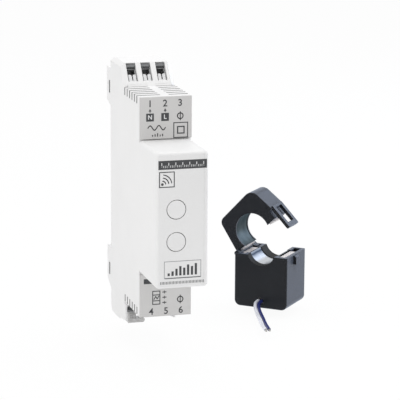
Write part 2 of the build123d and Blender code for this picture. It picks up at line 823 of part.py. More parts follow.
def make_lead_seal():
    """Sealing plug behind the leads, inside the arched hole."""
    half = lead_hole_width / 2 - joint_gap / 2
    plug = across(half, seal_front, clamp_wall, lead_exit_x, lead_exit_z)
    plug += block(lead_exit_x - half, lead_exit_x + half, seal_front, clamp_wall, lead_hole_sill + joint_gap / 2,
                  lead_exit_z)
    return plug & block(0, clamp_width, 0, clamp_wall, lead_hole_sill + joint_gap / 2, clamp_height)


def make_base_cover():
    """Bottom cover of the clamp."""
    margin = clamp_cover_margin + joint_gap
    return block(margin, clamp_width - margin, clamp_wall + joint_gap, clamp_depth - clamp_wall - joint_gap, 0,
                 clamp_cover_height)


def make_base_core():
    """U-shaped core: two legs up to the pole faces and a yoke under the window."""
    top = clamp_height - pole_recess
    core = block(core_outer_margin, clamp_width - core_outer_margin, core_front, core_back, core_yoke_bottom, top)
    core -= block(window_x - base_leg_inner, window_x + base_leg_inner, core_front - overrun, core_back + overrun,
                  core_yoke_bottom + core_yoke_height, top + overrun)
    return core


bobbin_x0 = window_x - base_leg_inner + joint_gap
bobbin_x1 = window_x + base_leg_inner - joint_gap
bobbin_grow = seat_gap + bobbin_wall


def yoke_sleeve(x0, x1, inner, outer):
    """A rectangular sleeve round the yoke, from one distance off it to another."""
    z0, z1 = core_yoke_bottom, core_yoke_bottom + core_yoke_height
    sleeve = block(x0, x1, core_front - outer, core_back + outer, z0 - outer, z1 + outer)
    return sleeve - block(x0 - overrun, x1 + overrun, core_front - inner, core_back + inner, z0 - inner, z1 + inner)


def make_bobbin():
    flange = bobbin_grow + winding_thickness
    bobbin = yoke_sleeve(bobbin_x0, bobbin_x1, seat_gap, bobbin_grow)
    bobbin += yoke_sleeve(bobbin_x0, bobbin_x0 + bobbin_flange, seat_gap, flange)
    bobbin += yoke_sleeve(bobbin_x1 - bobbin_flange, bobbin_x1, seat_gap, flange)
    return bobbin


def make_winding():
    """The wound copper, between the bobbin's flanges."""
    x0, x1 = bobbin_x0 + bobbin_flange + seat_gap, bobbin_x1 - bobbin_flange - seat_gap
    return yoke_sleeve(x0, x1, bobbin_grow + seat_gap / 2, bobbin_grow + winding_thickness - seat_gap)


def jaw_outline():
    """Front view of the jaw, shut: a leaning heel, a sloping top, and a right side down to the loop."""
    right_low = loop_outer_x - loop_proud
    points = [(0, jaw_base), (jaw_heel_lean, jaw_top - jaw_top_fall), (right_low - jaw_lean, jaw_top),
              (right_low, clamp_height + loop_rise), (clamp_width - seat_gap, clamp_height + loop_rise),
              (clamp_width - seat_gap, jaw_base)]
    face = make_face(Polyline(*points, close=True))
    heel = [v for v in face.vertices() if v.Y > jaw_base + overrun and v.X < window_x]
    face = fillet(heel, jaw_heel_radius)
    shoulder = [v for v in face.vertices() if v.Y > jaw_top - seat_gap and v.X > window_x]
    return fillet(shoulder, jaw_corner_radius)


def make_jaw_shell():
    face = jaw_outline()
    shell = front_plate(face, jaw_front, jaw_back)
    outer_edges = [e for e in shell.edges() if min((e @ 0).Z, (e @ 1).Z) > clamp_height + loop_rise + seat_gap
                   and abs((e @ 0).Y - (e @ 1).Y) < seat_gap]
    shell = fillet(outer_edges, jaw_cheek / 2)
    hollow = offset(face, amount=-jaw_wall, kind=Kind.INTERSECTION)
    y0, y1 = jaw_front + jaw_cheek, jaw_back - jaw_cheek
    hollow = front_plate(hollow, y0, y1)
    shell -= hollow & block(0, clamp_width - jaw_wall, 0, clamp_depth, jaw_base, jaw_top)
    shell -= block(core_outer_margin - joint_gap, clamp_width - jaw_wall, y0, y1, jaw_base - overrun,
                   jaw_base + jaw_wall * 2)
    shell -= across(jaw_window_radius, jaw_front - overrun, jaw_back + overrun, z=jaw_window_z)
    shell += across(knuckle_radius, jaw_front, jaw_back, hinge_x, hinge_z)
    ends = ((jaw_front - trunnion_length, jaw_front + seat_gap), (jaw_back - seat_gap, jaw_back + trunnion_length))
    for start, end in ends:
        shell += across(trunnion_radius, start, end, hinge_x, hinge_z)
    shell += make_loop()
    return shell


def make_loop():
    """The latch loop that hangs from the jaw's right side over the nub."""
    x0, x1 = loop_outer_x - loop_sheet, loop_outer_x
    loop = block(x0, x1, loop_front, loop_front + loop_width, clamp_height - loop_reach,
                 clamp_height + loop_rise + loop_root)
    middle = nub_front + nub_width / 2
    loop -= block(x0 - overrun, x1 + overrun, middle - loop_window_width / 2, middle + loop_window_width / 2,
                  clamp_height - loop_reach + loop_bar, clamp_height + loop_window_top)
    tip = [e for e in loop.edges().filter_by(Axis.X) if (e @ 0).Z < clamp_height - loop_reach + seat_gap]
    loop = fillet(tip, clamp_edge_radius)
    return loop


def make_jaw_core():
    """Upper half of the core, round inside, with its poles below the jaw's edge."""
    face = offset(jaw_outline(), amount=-(jaw_wall + joint_gap), kind=Kind.INTERSECTION)
    core = front_plate(face, core_front, core_back)
    core &= block(core_outer_margin, clamp_width - core_outer_margin, 0, clamp_depth, jaw_base, jaw_core_top)
    core += block(core_outer_margin, clamp_width - core_outer_margin, core_front, core_back,
                  clamp_height - pole_recess + pole_gap, jaw_base + jaw_wall * 2)
    return core - across(jaw_leg_inner, core_front - overrun, core_back + overrun, z=jaw_window_z)


def make_core_spring():
    """Bowed leaf that presses the jaw's core down on the poles."""
    low = jaw_core_top + joint_gap
    high = low + jaw_core_clear - joint_gap * 2
    reach = window_radius
    arc = ThreePointArc((window_x - reach, low), (window_x, high - spring_leaf), (window_x + reach, low))
    strip = trace(arc, spring_leaf)
    middle = (core_front + core_back) / 2
    return front_plate(strip, middle - spring_leaf_width / 2, middle + spring_leaf_width / 2)


# Leads
def lead_point(side):
    """Where a lead leaves the seal, and the point straight in front of it."""
    x = lead_exit_x + side * lead_pitch / 2
    return clamp_place * Pos(x, seal_front, lead_exit_z), clamp_place * Pos(x, -lead_straight, lead_exit_z)


def lead_path(points):
    """Straight runs joined by tangent arcs, each as large as its two runs allow."""
    radii = []
    for a, b, c in zip(points, points[1:], points[2:]):
        shorter = min((b - a).length, (c - b).length)
        turn = math.radians((b - a).get_angle(c - b))
        radii.append(bend_share * shorter / math.tan(turn / 2))
    return FilletPolyline(*points, radius=radii), radii


def make_lead(name, side, route):
    """An insulated lead from the seal to its cut end, and its bare tip."""
    start, straight = lead_point(side)
    points = [start.position, straight.position] + [Vector(*p) for p in route]
    path, radii = lead_path(points)
    profile = Plane(origin=path @ 0, z_dir=path % 0) * Circle(lead_diameter / 2)
    lead = sweep(profile, path=path)
    expected = math.pi * (lead_diameter / 2) ** 2 * path.length
    print(name, "length %.1f" % path.length, "volume %.2f of %.2f" % (lead.volume, expected),
          "radii", " ".join("%.1f" % r for r in radii))
    end, aim = path @ 1, path % 1
    tip = rod(tip_diameter / 2, end, end + aim * tip_length)
    return lead, tip


# Parts on the boards
def make_transformer_core():
    """E core lying on the board round its winding."""
    core = board_part(transformer_place, transformer_size)
    length, height, rise = transformer_size
    y, z = transformer_place
    x0, x1 = board_x - rise + transformer_leg, board_x - seat_gap - transformer_leg
    window = block(x0, x1, y - length, y + length, z - height / 2 + transformer_leg, z + height / 2 - transformer_leg)
    middle = transformer_leg / 2
    core -= window
    return core + block(x0 - seat_gap, x1 + seat_gap, y - length / 2, y + length / 2, z - middle, z + middle)


def make_transformer_winding():
    length, height, rise = transformer_size
    y, z = transformer_place
    x0, x1 = board_x - rise + transformer_leg + joint_gap, board_x - seat_gap - transformer_leg - joint_gap
    half = height / 2 - transformer_leg - joint_gap
    outer = block(x0, x1, y - length / 2 - transformer_leg, y + length / 2 + transformer_leg, z - half, z + half)
    middle = transformer_leg / 2 + joint_gap
    return outer - block(x0 - overrun, x1 + overrun, y - length / 2 - joint_gap, y + length / 2 + joint_gap,
                         z - middle, z + middle)


def make_antenna():
    """Bent wire from the board along the nose."""
    y, z = behind_front(antenna_place)
    x = board_x - antenna_rise
    path = FilletPolyline((board_x - seat_gap, y, z), (x, y, z), (x, y, z + antenna_length), radius=antenna_bend)
    ring = Plane(origin=path @ 0, z_dir=path % 0) * Circle(antenna_radius)
    return sweep(ring, path=path)


def make_varistor():
    y, z = varistor_place
    x = board_x - seat_gap - varistor_radius
    half = varistor_thickness / 2
    return rod(varistor_radius, (x, y - half, z), (x, y + half, z))


def make_fuse():
    y, z = fuse_place
    x = board_x - seat_gap - fuse_radius
    return rod(fuse_radius, (x, y, z - fuse_length / 2), (x, y, z + fuse_length / 2))


def build():
    """Every node by name."""
    outer = make_outer()
    nodes = {
        "housing_tray": make_tray(outer),
        "side_cover": make_cover(outer),
        "terminal_plate_upper": make_plate(nose_half_height + plate_gap, top_step, upper_peg_z),
        "terminal_plate_lower": make_plate(-bottom_step, -nose_half_height - plate_gap, lower_peg_z),
        "terminal_block_upper": make_terminal_block(True),
        "terminal_block_lower": make_terminal_block(False),
        "button_upper": make_button(button_upper_z),
        "button_lower": make_button(button_lower_z),
        "switch_plunger_upper": make_plunger(button_upper_z),
        "switch_plunger_lower": make_plunger(button_lower_z),
        "tact_switch_upper": make_switch(button_upper_z),
        "tact_switch_lower": make_switch(button_lower_z),
        "button_board": make_key_board(),
        "main_board": make_main_board(),
        "snap_key_upper": make_snap_key(upper_snap_y, upper_snap_z, upper_pocket),
        "snap_key_lower": make_snap_key(lower_snap_y, lower_snap_z, lower_pocket),
        "rail_clip": make_clip(),
        "rail_clip_spring": make_clip_spring(),
        "transformer_core": make_transformer_core(),
        "transformer_winding": make_transformer_winding(),
        "mains_capacitor": board_part(film_cap_place, film_cap_size),
        "bulk_capacitor": board_can(bulk_cap_place, bulk_cap_radius, bulk_cap_height),
        "output_capacitor": board_can(output_cap_place, output_cap_radius, output_cap_height),
        "varistor": make_varistor(),
        "input_fuse": make_fuse(),
        "controller_chip": board_part(behind_front(controller_place), controller_size),
        "metering_chip": board_part(meter_chip_place, meter_chip_size),
        "optocoupler": board_part(optocoupler_place, optocoupler_size),
        "radio_module": board_part(behind_front(radio_place), radio_size),
        "radio_antenna": make_antenna(),
    }
    for i in range(3):
        nodes["terminal_cage_%d" % (i + 1)] = make_cage(i, True)
        nodes["terminal_leaf_%d" % (i + 1)] = make_leaf(i, True)
        nodes["terminal_cage_%d" % (i + 4)] = make_cage(i, False)
        nodes["terminal_leaf_%d" % (i + 4)] = make_leaf(i, False)
    still = {
        "clamp_base_shell": make_base_shell(),
        "clamp_base_cover": make_base_cover(),
        "clamp_base_core": make_base_core(),
        "clamp_base_sleeve": half_sleeve(False),
        "clamp_bobbin": make_bobbin(),
        "clamp_winding": make_winding(),
        "clamp_lead_seal": make_lead_seal(),
    }
    swung = {
        "clamp_jaw_shell": make_jaw_shell(),
        "clamp_jaw_core": make_jaw_core(),
        "clamp_jaw_sleeve": half_sleeve(True),
        "clamp_core_spring": make_core_spring(),
    }
    for name, piece in still.items():
        nodes[name] = clamp_place * piece
    for name, piece in swung.items():
        nodes[name] = clamp_place * jaw_turn * piece
    nodes["lead_white"], nodes["lead_white_tip"] = make_lead("white lead", -1, white_route)
    nodes["lead_blue"], nodes["lead_blue_tip"] = make_lead("blue lead", 1, blue_route)
    return nodes


os.makedirs("parts", exist_ok=True)
for node_name, node_shape in build().items():
    export_step(node_shape, "parts/" + node_name + ".step")
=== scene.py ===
import json
import math
from functools import cache

import bmesh
import bpy
from bpy.props import FloatProperty, FloatVectorProperty, IntProperty, PointerProperty
from mathutils import Matrix, Vector


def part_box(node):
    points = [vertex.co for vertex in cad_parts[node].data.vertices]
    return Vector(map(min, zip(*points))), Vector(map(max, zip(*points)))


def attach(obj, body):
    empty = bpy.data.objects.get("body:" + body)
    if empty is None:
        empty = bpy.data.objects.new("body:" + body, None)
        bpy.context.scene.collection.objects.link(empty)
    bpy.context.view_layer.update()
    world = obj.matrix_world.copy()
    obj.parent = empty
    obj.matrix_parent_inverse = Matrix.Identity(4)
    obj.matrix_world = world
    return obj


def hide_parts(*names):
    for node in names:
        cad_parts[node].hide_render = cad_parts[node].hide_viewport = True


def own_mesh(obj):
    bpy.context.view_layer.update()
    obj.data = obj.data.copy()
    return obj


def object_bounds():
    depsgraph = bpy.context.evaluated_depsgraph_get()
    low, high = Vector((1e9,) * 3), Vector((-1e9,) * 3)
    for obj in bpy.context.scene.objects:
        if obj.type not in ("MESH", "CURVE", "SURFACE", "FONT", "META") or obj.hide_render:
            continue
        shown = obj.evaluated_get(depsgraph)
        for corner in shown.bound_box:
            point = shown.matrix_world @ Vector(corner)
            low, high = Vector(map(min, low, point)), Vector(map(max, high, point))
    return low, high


bl_info = {
    "name": "Rail meter and current clamp finishes",
    "version": (1, 0, 0),
    "blender": (4, 5, 0),
    "location": "3D View > Sidebar > Meter",
    "description": "Dresses a one-module energy meter and its split-core current clamp",
    "category": "Object",
}

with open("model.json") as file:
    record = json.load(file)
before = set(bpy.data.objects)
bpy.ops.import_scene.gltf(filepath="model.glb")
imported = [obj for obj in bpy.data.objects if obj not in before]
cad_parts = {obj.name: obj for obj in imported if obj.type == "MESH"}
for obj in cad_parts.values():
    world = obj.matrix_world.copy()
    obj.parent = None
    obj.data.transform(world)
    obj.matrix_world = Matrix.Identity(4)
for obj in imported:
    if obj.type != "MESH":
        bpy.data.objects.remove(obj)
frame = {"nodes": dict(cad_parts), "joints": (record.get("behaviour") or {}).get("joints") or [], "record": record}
cad_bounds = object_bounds()
clip_joint = next(joint for joint in frame["joints"] if joint["child"] == "rail_clip")

MM = 0.001

# Planes that carry print, middles of the terminals, and half the plates' width (mm)
NOSE_FACE = -62.2
PLATE_FACE = -41.3
TERMINAL_X = (-5.4, -0.3, 4.8)
PLATE_EDGE = 8.75

# Louvres across the two steps, and the slope behind the upper one (mm)
LOUVRE_COUNT = 6
LOUVRE_FIRST = 20.9
LOUVRE_PITCH = 3.3
LOUVRE_WIDTH = 1.1
LOUVRE_CUT = 1.2
LOUVRE_DROP = 2.6
LOUVRE_RIB = (-0.9, 2.0)
TOP_STEP = 36.8
BOTTOM_STEP = 37.5
SLOPE_FOOT = 20.4
SLOPE_RISE = 1.241

# Slack round the shadow in a slot, and how a sill laps into what is round it (mm)
LOUVRE_PLAY = 0.02
SILL_GAP = 0.01
SILL_ROOT = 0.05

# The rail clip's spring (mm)
CLIP_SPRING = "rail_clip_spring"
SPRING_STRIP = 0.35
SPRING_TURNS = 11
SPRING_STEPS = 10

# The rims of the clamp's window, which carry a band of painted shade: how far out they lie, how squarely they face
# in, and their band (mm)
RIM_REACH = 6.6
RIM_FACING = 0.9
RIM_BAND = (0.01, 0.05)
WELD = 0.000001  # metres

# A lead's bare end: strands round the middle one, sides of a strand, and their twist
STRAND_RING = 6
STRAND_SIDES = 10
STRAND_LAY = math.radians(60.0)

# Print on the nose (mm). Areas are left, right, bottom, top. Ticks are middle height, width, height.
TYPE_SIZE = 1.38  # of the type, for each mm of a digit's height
SCALE_FIELD = (-8.0, 8.1, 17.0, 19.9)
SCALE_ENDS = (-6.9, 7.0)
SCALE_TICK = (17.95, 0.18, 0.7)
SCALE_MARK = (18.4, 0.26, 1.6)
SIGNAL_FRAME = (-7.8, -2.6, 11.1, 16.3)
SIGNAL_FOOT = (-6.7, 12.2)
SIGNAL_DOT = 0.25
SIGNAL_ARCS = (1.1, 2.1, 3.1)
CHART_FRAME = (-6.1, 6.35, -19.0, -13.3)
CHART_BASE = (-5.9, 6.2, -19.15, -18.95)
CHART_COLUMNS = (-4.9, -18.2, 1.3, 0.75)  # first, foot, pitch, width
CHART_HEIGHTS = (0.9, 1.5, 2.3, 3.1, 2.5, 3.5, 2.9, 3.8)
RULE_TICKS = (31, -7.2, 0.48, -20.5, 0.2, 0.9)  # count, first, pitch, then as the other ticks

# Print on the plates (mm): middles of digits and letters, and signs about a terminal or by themselves
UPPER_DIGITS, LOWER_DIGITS = 34.6, -35.8
LOWER_SHIFT = 0.45
OPEN_LETTERS = 30.12
OPEN_SHARE = 0.62  # of a digit's height
OPEN_FIELD = (1.3, 28.8, 31.45)  # half width, bottom, top
ARROW_SHAFT = (0.15, 31.75, 32.2)
ARROW_HEAD = (0.5, 32.15, 33.0)
CLAMP_SIGNS = ((4.85, 30.3), (5.05, -32.0))
CLAMP_SIGN = (0.95, 1.35)  # radius of the ring, reach of the wire
MAINS_WAVE = (-6.1, -0.2, 26.6, 0.75)  # left, right, middle, height
WAVE_STEPS = 24
LOAD_COLUMNS = (-4.7, 0.85, 0.35, 23.7)  # first, pitch, width, foot
LOAD_TOPS = (24.3, 24.55, 24.8, 24.3, 24.55)
DOUBLE_FRAME = ((2.5, 7.5, 22.95, 28.2, 1.0), (3.75, 6.35, 24.3, 26.9, 1.3))
RATING_FIELD = (-7.5, 2.0, -26.1, -24.4)
REGISTER = (-4.6, -1.8, -33.4, -28.6)
CROSSES = (-29.2, -31.0, -32.8)
CROSS_ARM = (-1.1, 0.3)
CROSS_POST = (-0.52, -0.28, 0.5)  # left, right, half height

# The stage: half the floor's side, the point the lamps face, and their colours
FLOOR_HALF = 3.0
LIGHT_AIM = Vector((0.015, -0.02, -0.01))
WHITE_LIGHT = (1.0, 1.0, 1.0, 1.0)
RIM_LIGHT = (0.66, 0.78, 1.0)

# The leads' routes, in metres, from the seal in the clamp to the cut end
WHITE_ROUTE = (
    (0.046995, 0.005458, -0.047800), (0.045631, 0.003861, -0.047800), (0.044540, 0.001640, -0.048150),
    (0.043850, -0.001370, -0.048980), (0.043160, -0.005470, -0.049560), (0.042340, -0.010400, -0.049750),
    (0.041370, -0.015400, -0.049750), (0.040620, -0.020400, -0.049750), (0.040170, -0.025100, -0.049750),
)
BLUE_ROUTE = (
    (0.047983, 0.004614, -0.047800), (0.046619, 0.003017, -0.047800), (0.045540, 0.000790, -0.048150),
    (0.044950, -0.002250, -0.048980), (0.044400, -0.006300, -0.049560), (0.043750, -0.011100, -0.049750),
    (0.042800, -0.015900, -0.049750), (0.042050, -0.020600, -0.049750), (0.041550, -0.024900, -0.049750),
)


# Properties


def colour(name, words, red, green, blue):
    return FloatVectorProperty(name=name, description=words, subtype="COLOR", size=4, min=0.0, max=1.0,
                               default=(red, green, blue, 1.0))


def length(name, words, default):
    return FloatProperty(name=name, description=words, subtype="DISTANCE", unit="LENGTH", min=0.0,
                         default=default, precision=5)


def angle(name, words, degrees):
    return FloatProperty(name=name, description=words, subtype="ANGLE", unit="ROTATION",
                         default=math.radians(degrees))


def plain(name, words, default, low=0.0, high=100.0):
    return FloatProperty(name=name, description=words, min=low, max=high, default=default)


class HousingLook(bpy.types.PropertyGroup):
    shell: colour("Shell", "White of the housing and keys", 0.835, 0.832, 0.830)
    shell_deep: colour("Shell, deep", "Slightly darker white in the flow marks", 0.812, 0.809, 0.807)
    plate: colour("Plate", "Grey of the two terminal plates", 0.640, 0.632, 0.624)
    clip: colour("Clip", "Grey of the rail clip", 0.660, 0.655, 0.648)
    # Painted shade: the keys are dark grey so that the slits round them read as shadowed.
    snap_key: colour("Snap key", "Dark grey of the keys that hold the cover", 0.070, 0.073, 0.078)
    slot: colour("Slot", "Shadow in the louvre slots", 0.100, 0.100, 0.104)
    slot_sink: length("Slot sink", "How far the shadow lies below the face", 0.00005)
    edge: length("Edge", "Radius that the moulded edges seem to have", 0.00022)
    grain: length("Grain", "Depth of the spark-eroded grain", 0.000010)
    roughness: plain("Roughness", "Roughness of the moulded white", 0.46, 0.0, 1.0)


class PrintLook(bpy.types.PropertyGroup):
    ink: colour("Ink", "Dark grey ink of the front prints", 0.040, 0.042, 0.045)
    faint: colour("Faint ink", "Light grey ink of thin frames", 0.330, 0.335, 0.340)
    paper: colour("Knocked out", "White left open in dark fields", 0.780, 0.785, 0.790)
    film: length("Film", "Thickness of the ink", 0.00002)
    line: length("Line", "Width of drawn lines", 0.00031)
    digit: length("Digit", "Height of the digits", 0.0023)
    swell: length("Swell", "How far the letters' outlines are spread", 0.00005)
    ticks: IntProperty(name="Ticks", description="Marks along the printed scale", min=2, max=60, default=25)


class MetalLook(bpy.types.PropertyGroup):
    steel: colour("Steel", "Plated steel of cages and leaves", 0.600, 0.605, 0.610)
    spring: colour("Spring", "Spring steel", 0.500, 0.500, 0.505)
    pole: colour("Pole", "Ground faces of the core", 0.880, 0.845, 0.845)
    sleeve: colour("Sleeve", "Bright sleeve in the window", 0.930, 0.935, 0.950)
    # Painted reflection: the dark bands round the bright sleeve stand in for what it mirrors.
    sleeve_painted_reflection: colour("Sleeve band", "Darker bands rolled into the sleeve", 0.022, 0.027, 0.040)
    dark_sleeve: colour("Dark sleeve", "Dark foil in the jaw's window", 0.130, 0.150, 0.155)
    copper: colour("Copper", "Enamelled copper", 0.480, 0.170, 0.070)
    tin: colour("Tin", "Tinned strands", 0.620, 0.610, 0.590)


class ClampLook(bpy.types.PropertyGroup):
    black: colour("Black", "Glossy black of the clamp", 0.0050, 0.0051, 0.0054)
    edge: length("Edge", "Radius that the moulded edges seem to have", 0.00025)
    roughness: plain("Roughness", "Roughness of the gloss", 0.36, 0.0, 1.0)
    gloss: plain("Gloss", "How strongly the black mirrors", 0.20, 0.0, 1.0)
    bloom: plain("Bloom", "Cool haze on the black seen at a low angle", 0.42, 0.0, 1.0)
    bloom_tone: colour("Bloom tone", "Colour of the haze", 0.62, 0.74, 1.0)


class LeadLook(bpy.types.PropertyGroup):
    white: colour("White", "Insulation of the white lead", 0.860, 0.870, 0.930)
    blue: colour("Blue", "Insulation of the blue lead", 0.018, 0.026, 0.150)
    diameter: length("Diameter", "Outside diameter of a lead", 0.0012)
    strand: length("Strand", "Diameter of one strand", 0.00025)
    bared: length("Bared", "Length of bare strands", 0.0016)
    white_length: length("White length", "Real length of the white lead", 0.0318)
    blue_length: length("Blue length", "Real length of the blue lead", 0.0307)


class StageLook(bpy.types.PropertyGroup):
    floor: colour("Floor", "Pale floor and backdrop", 0.930, 0.930, 0.930)
    room: plain("Room", "Share of the rail clip's travel that the floor leaves free below it", 1.0, 0.0, 2.0)
    glow: plain("Glow", "Share of plain white in what the camera sees of the floor", 0.94, 0.0, 1.0)
    ambient: plain("Ambient", "Strength of the soft light from all round", 0.65)
    top: plain("Top", "Power of the overhead light in watts", 1.5)
    side: plain("Side", "Power of the light on the left in watts", 0.92)
    right: plain("Right", "Power of the light on the right in watts", 0.8)
    rim: plain("Rim", "Power of the cool light behind on the right in watts", 0.7)
    azimuth: angle("Azimuth", "Camera direction round the object", -15.76)
    elevation: angle("Elevation", "Camera height above level", 12.72)
    roll: angle("Roll", "Camera tilt about its line of sight", 0.33)
    distance: length("Distance", "From the camera to its target", 0.761)
    lens: plain("Lens", "Focal length in millimetres on a 36 mm frame", 203.13, 1.0, 1000.0)
    target: FloatVectorProperty(name="Target", description="Point the camera looks at", subtype="TRANSLATION",
                                unit="LENGTH", size=3, default=(0.01493, -0.030, -0.00110))


LOOKS = {
    "meter_housing": HousingLook,
    "meter_print": PrintLook,
    "meter_metal": MetalLook,
    "meter_clamp": ClampLook,
    "meter_lead": LeadLook,
    "meter_stage": StageLook,
}


# Node trees


def label_of(key):
    """The label of a socket, from a key in code."""
    return key.replace("_", " ").title().replace("Ior", "IOR")


def socket_kind(value):
    """The kind of socket that holds a value like this one."""
    if value is None:
        return "NodeSocketMaterial"
    if isinstance(value, tuple):
        return "NodeSocketColor" if len(value) == 4 else "NodeSocketVector"
    return "NodeSocketInt" if isinstance(value, int) else "NodeSocketFloat"


def start_tree(kind, name, outputs, inputs):
    """A tree with its sockets, and what its input node gives. Each input's value says its kind."""
    tree = bpy.data.node_groups.new(name, kind)
    for label, socket in outputs:
        tree.interface.new_socket(name=label, in_out="OUTPUT", socket_type=socket)
    for key, value in inputs.items():
        socket = tree.interface.new_socket(name=label_of(key), in_out="INPUT", socket_type=socket_kind(value))
        if value is not None:
            socket.default_value = value
    return tree, tree.nodes.new("NodeGroupInput").outputs


def put(socket, value):
    """Wires a value from another node into a socket, or sets a plain one."""
    if isinstance(value, bpy.types.NodeSocket):
        socket.id_data.links.new(value, socket)
    else:
        socket.default_value = value


def add(tree, kind, *values, **settings):
    """A node, with its settings and what goes into its sockets, by place or by name."""
    node = tree.nodes.new(kind)
    for key, value in settings.items():
        if hasattr(node, key):
            setattr(node, key, value)
        else:
            put(node.inputs[label_of(key)], value)
    for i, value in enumerate(values):
        put(node.inputs[i], value)
    return node


def calc(tree, operation, *values):
    """The result of a sum on numbers."""
    return add(tree, "ShaderNodeMath", *values, operation=operation).outputs["Value"]


def object_point(tree):
    """Object coordinates in metres."""
    return tree.nodes.new("ShaderNodeTexCoord").outputs["Object"]


def noise(tree, place, scale, detail, roughness=0.5):
    """Soft noise from 0 to 1."""
    node = add(tree, "ShaderNodeTexNoise", Vector=place, Scale=scale, Detail=detail, Roughness=roughness)
    return node.outputs["Fac"]


def cells(tree, place, scale, feature="F1"):
    """The distance in a pattern of cells."""
    return add(tree, "ShaderNodeTexVoronoi", feature=feature, Vector=place, Scale=scale).outputs["Distance"]


def mix_colours(tree, factor, a, b):
    """A colour between two, by a factor."""
    return add(tree, "ShaderNodeMix", data_type="RGBA", Factor=factor, A=a, B=b).outputs["Result"]


def ramp(tree, value, low, high):
    """A value spread from 0 at low to 1 at high."""
    return add(tree, "ShaderNodeMapRange", Value=value, From_Min=low, From_Max=high).outputs["Result"]


def bumped(tree, height, distance, strength=1.0, **normal):
    """A normal that follows a height."""
    node = add(tree, "ShaderNodeBump", Strength=strength, Height=height, Distance=distance, **normal)
    return node.outputs["Normal"]


def soft_edge(tree, radius):
    """A normal that turns smoothly over an edge."""
    return add(tree, "ShaderNodeBevel", samples=6, Radius=radius).outputs["Normal"]


# Shader groups, each built once


def start_group(name, **inputs):
    return start_tree("ShaderNodeTree", name,
                      (("Colour", "NodeSocketColor"), ("Normal", "NodeSocketVector")), inputs)


def end_group(tree, shade, normal):
    add(tree, "NodeGroupOutput", Colour=shade, Normal=normal)
    return tree


@cache
def moulded():
    """Moulded plastic: faint flow marks, a fine eroded grain and soft edges."""
    tree, given = start_group(
        "moulded surface", light=(0.8, 0.8, 0.8, 1.0), deep=(0.7, 0.7, 0.7, 1.0), flow_scale=60.0,
        grain_scale=2500.0, grain_depth=0.00001, edge=0.0002)
    place = object_point(tree)
    flow = noise(tree, place, given["Flow Scale"], 3.0)
    grain = noise(tree, place, given["Grain Scale"], 2.0, 0.6)
    shade = mix_colours(tree, ramp(tree, flow, 0.35, 0.7), given["Light"], given["Deep"])
    edge = soft_edge(tree, given["Edge"])
    return end_group(tree, shade, bumped(tree, grain, given["Grain Depth"], Normal=edge))


@cache
def brushed():
    """Drawn or rolled metal: fine lines along one way, with a little wear."""
    tree, given = start_group(
        "drawn metal", light=(0.6, 0.6, 0.6, 1.0), deep=(0.4, 0.4, 0.4, 1.0), stretch=(1.0, 1.0, 1.0),
        line_scale=3000.0, line_depth=0.000004, edge=0.0001)
    place = add(tree, "ShaderNodeVectorMath", object_point(tree), given["Stretch"], operation="MULTIPLY")
    lines = noise(tree, place.outputs["Vector"], given["Line Scale"], 3.0, 0.65)
    shade = mix_colours(tree, ramp(tree, lines, 0.3, 0.7), given["Light"], given["Deep"])
    edge = soft_edge(tree, given["Edge"])
    return end_group(tree, shade, bumped(tree, lines, given["Line Depth"], Normal=edge))


@cache
def wound():
    """Wire or tape laid in turns along one axis."""
    tree, given = start_group(
        "wound turns", crest=(0.5, 0.2, 0.1, 1.0), valley=(0.2, 0.07, 0.03, 1.0), axis=(0.0, 0.0, 1.0),
        turns=2500.0, turn_depth=0.00006, wander=1.0, shift=0.0)
    place = object_point(tree)
    along = add(tree, "ShaderNodeVectorMath", place, given["Axis"], operation="DOT_PRODUCT")
    phase = calc(tree, "MULTIPLY", along.outputs["Value"], given["Turns"])
    stray = calc(tree, "MULTIPLY_ADD", noise(tree, place, 400.0, 1.0), given["Wander"], given["Shift"])
    wave = calc(tree, "PINGPONG", calc(tree, "ADD", phase, stray), 1.0)
    shade = mix_colours(tree, wave, given["Valley"], given["Crest"])
    return end_group(tree, shade, bumped(tree, wave, given["Turn Depth"]))


@cache
def etched():
    """Circuit board: solder mask over tracks, with open pads."""
    tree, given = start_group(
        "circuit board", mask=(0.02, 0.12, 0.05, 1.0), track=(0.04, 0.2, 0.08, 1.0),
        pad=(0.55, 0.52, 0.45, 1.0), track_scale=260.0, track_depth=0.00003)
    place = add(tree, "ShaderNodeMapping", Vector=object_point(tree), Scale=(0.2, 1.0, 1.0)).outputs["Vector"]
    track = ramp(tree, cells(tree, place, given["Track Scale"], "DISTANCE_TO_EDGE"), 0.16, 0.10)
    pad = ramp(tree, cells(tree, place, given["Track Scale"]), 0.17, 0.14)
    shade = mix_colours(tree, track, given["Mask"], given["Track"])
    shade = mix_colours(tree, pad, shade, given["Pad"])
    return end_group(tree, shade, bumped(tree, track, given["Track Depth"]))


@cache
def speckled():
    """Pressed or dipped stuff: small light and dark grains."""
    tree, given = start_group(
        "pressed grains", light=(0.3, 0.3, 0.3, 1.0), deep=(0.1, 0.1, 0.1, 1.0), grain_scale=1500.0,
        grain_depth=0.00001, edge=0.0002)
    place, scale = object_point(tree), given["Grain Scale"]
    mask = calc(tree, "MULTIPLY", cells(tree, place, scale), noise(tree, place, scale, 4.0, 0.7))
    shade = mix_colours(tree, ramp(tree, mask, 0.05, 0.4), given["Deep"], given["Light"])
    edge = soft_edge(tree, given["Edge"])
    return end_group(tree, shade, bumped(tree, mask, given["Grain Depth"], Normal=edge))


@cache
def inked():
    """Pad-printed ink: a little thin in places."""
    tree, given = start_group(
        "printed ink", ink=(0.04, 0.04, 0.04, 1.0), thin=(0.09, 0.09, 0.09, 1.0), dot_scale=5000.0)
    dots = noise(tree, object_point(tree), given["Dot Scale"], 2.0, 0.7)
    shade = mix_colours(tree, ramp(tree, dots, 0.45, 0.75), given["Ink"], given["Thin"])
    return end_group(tree, shade, bumped(tree, dots, 0.00001, 0.3))


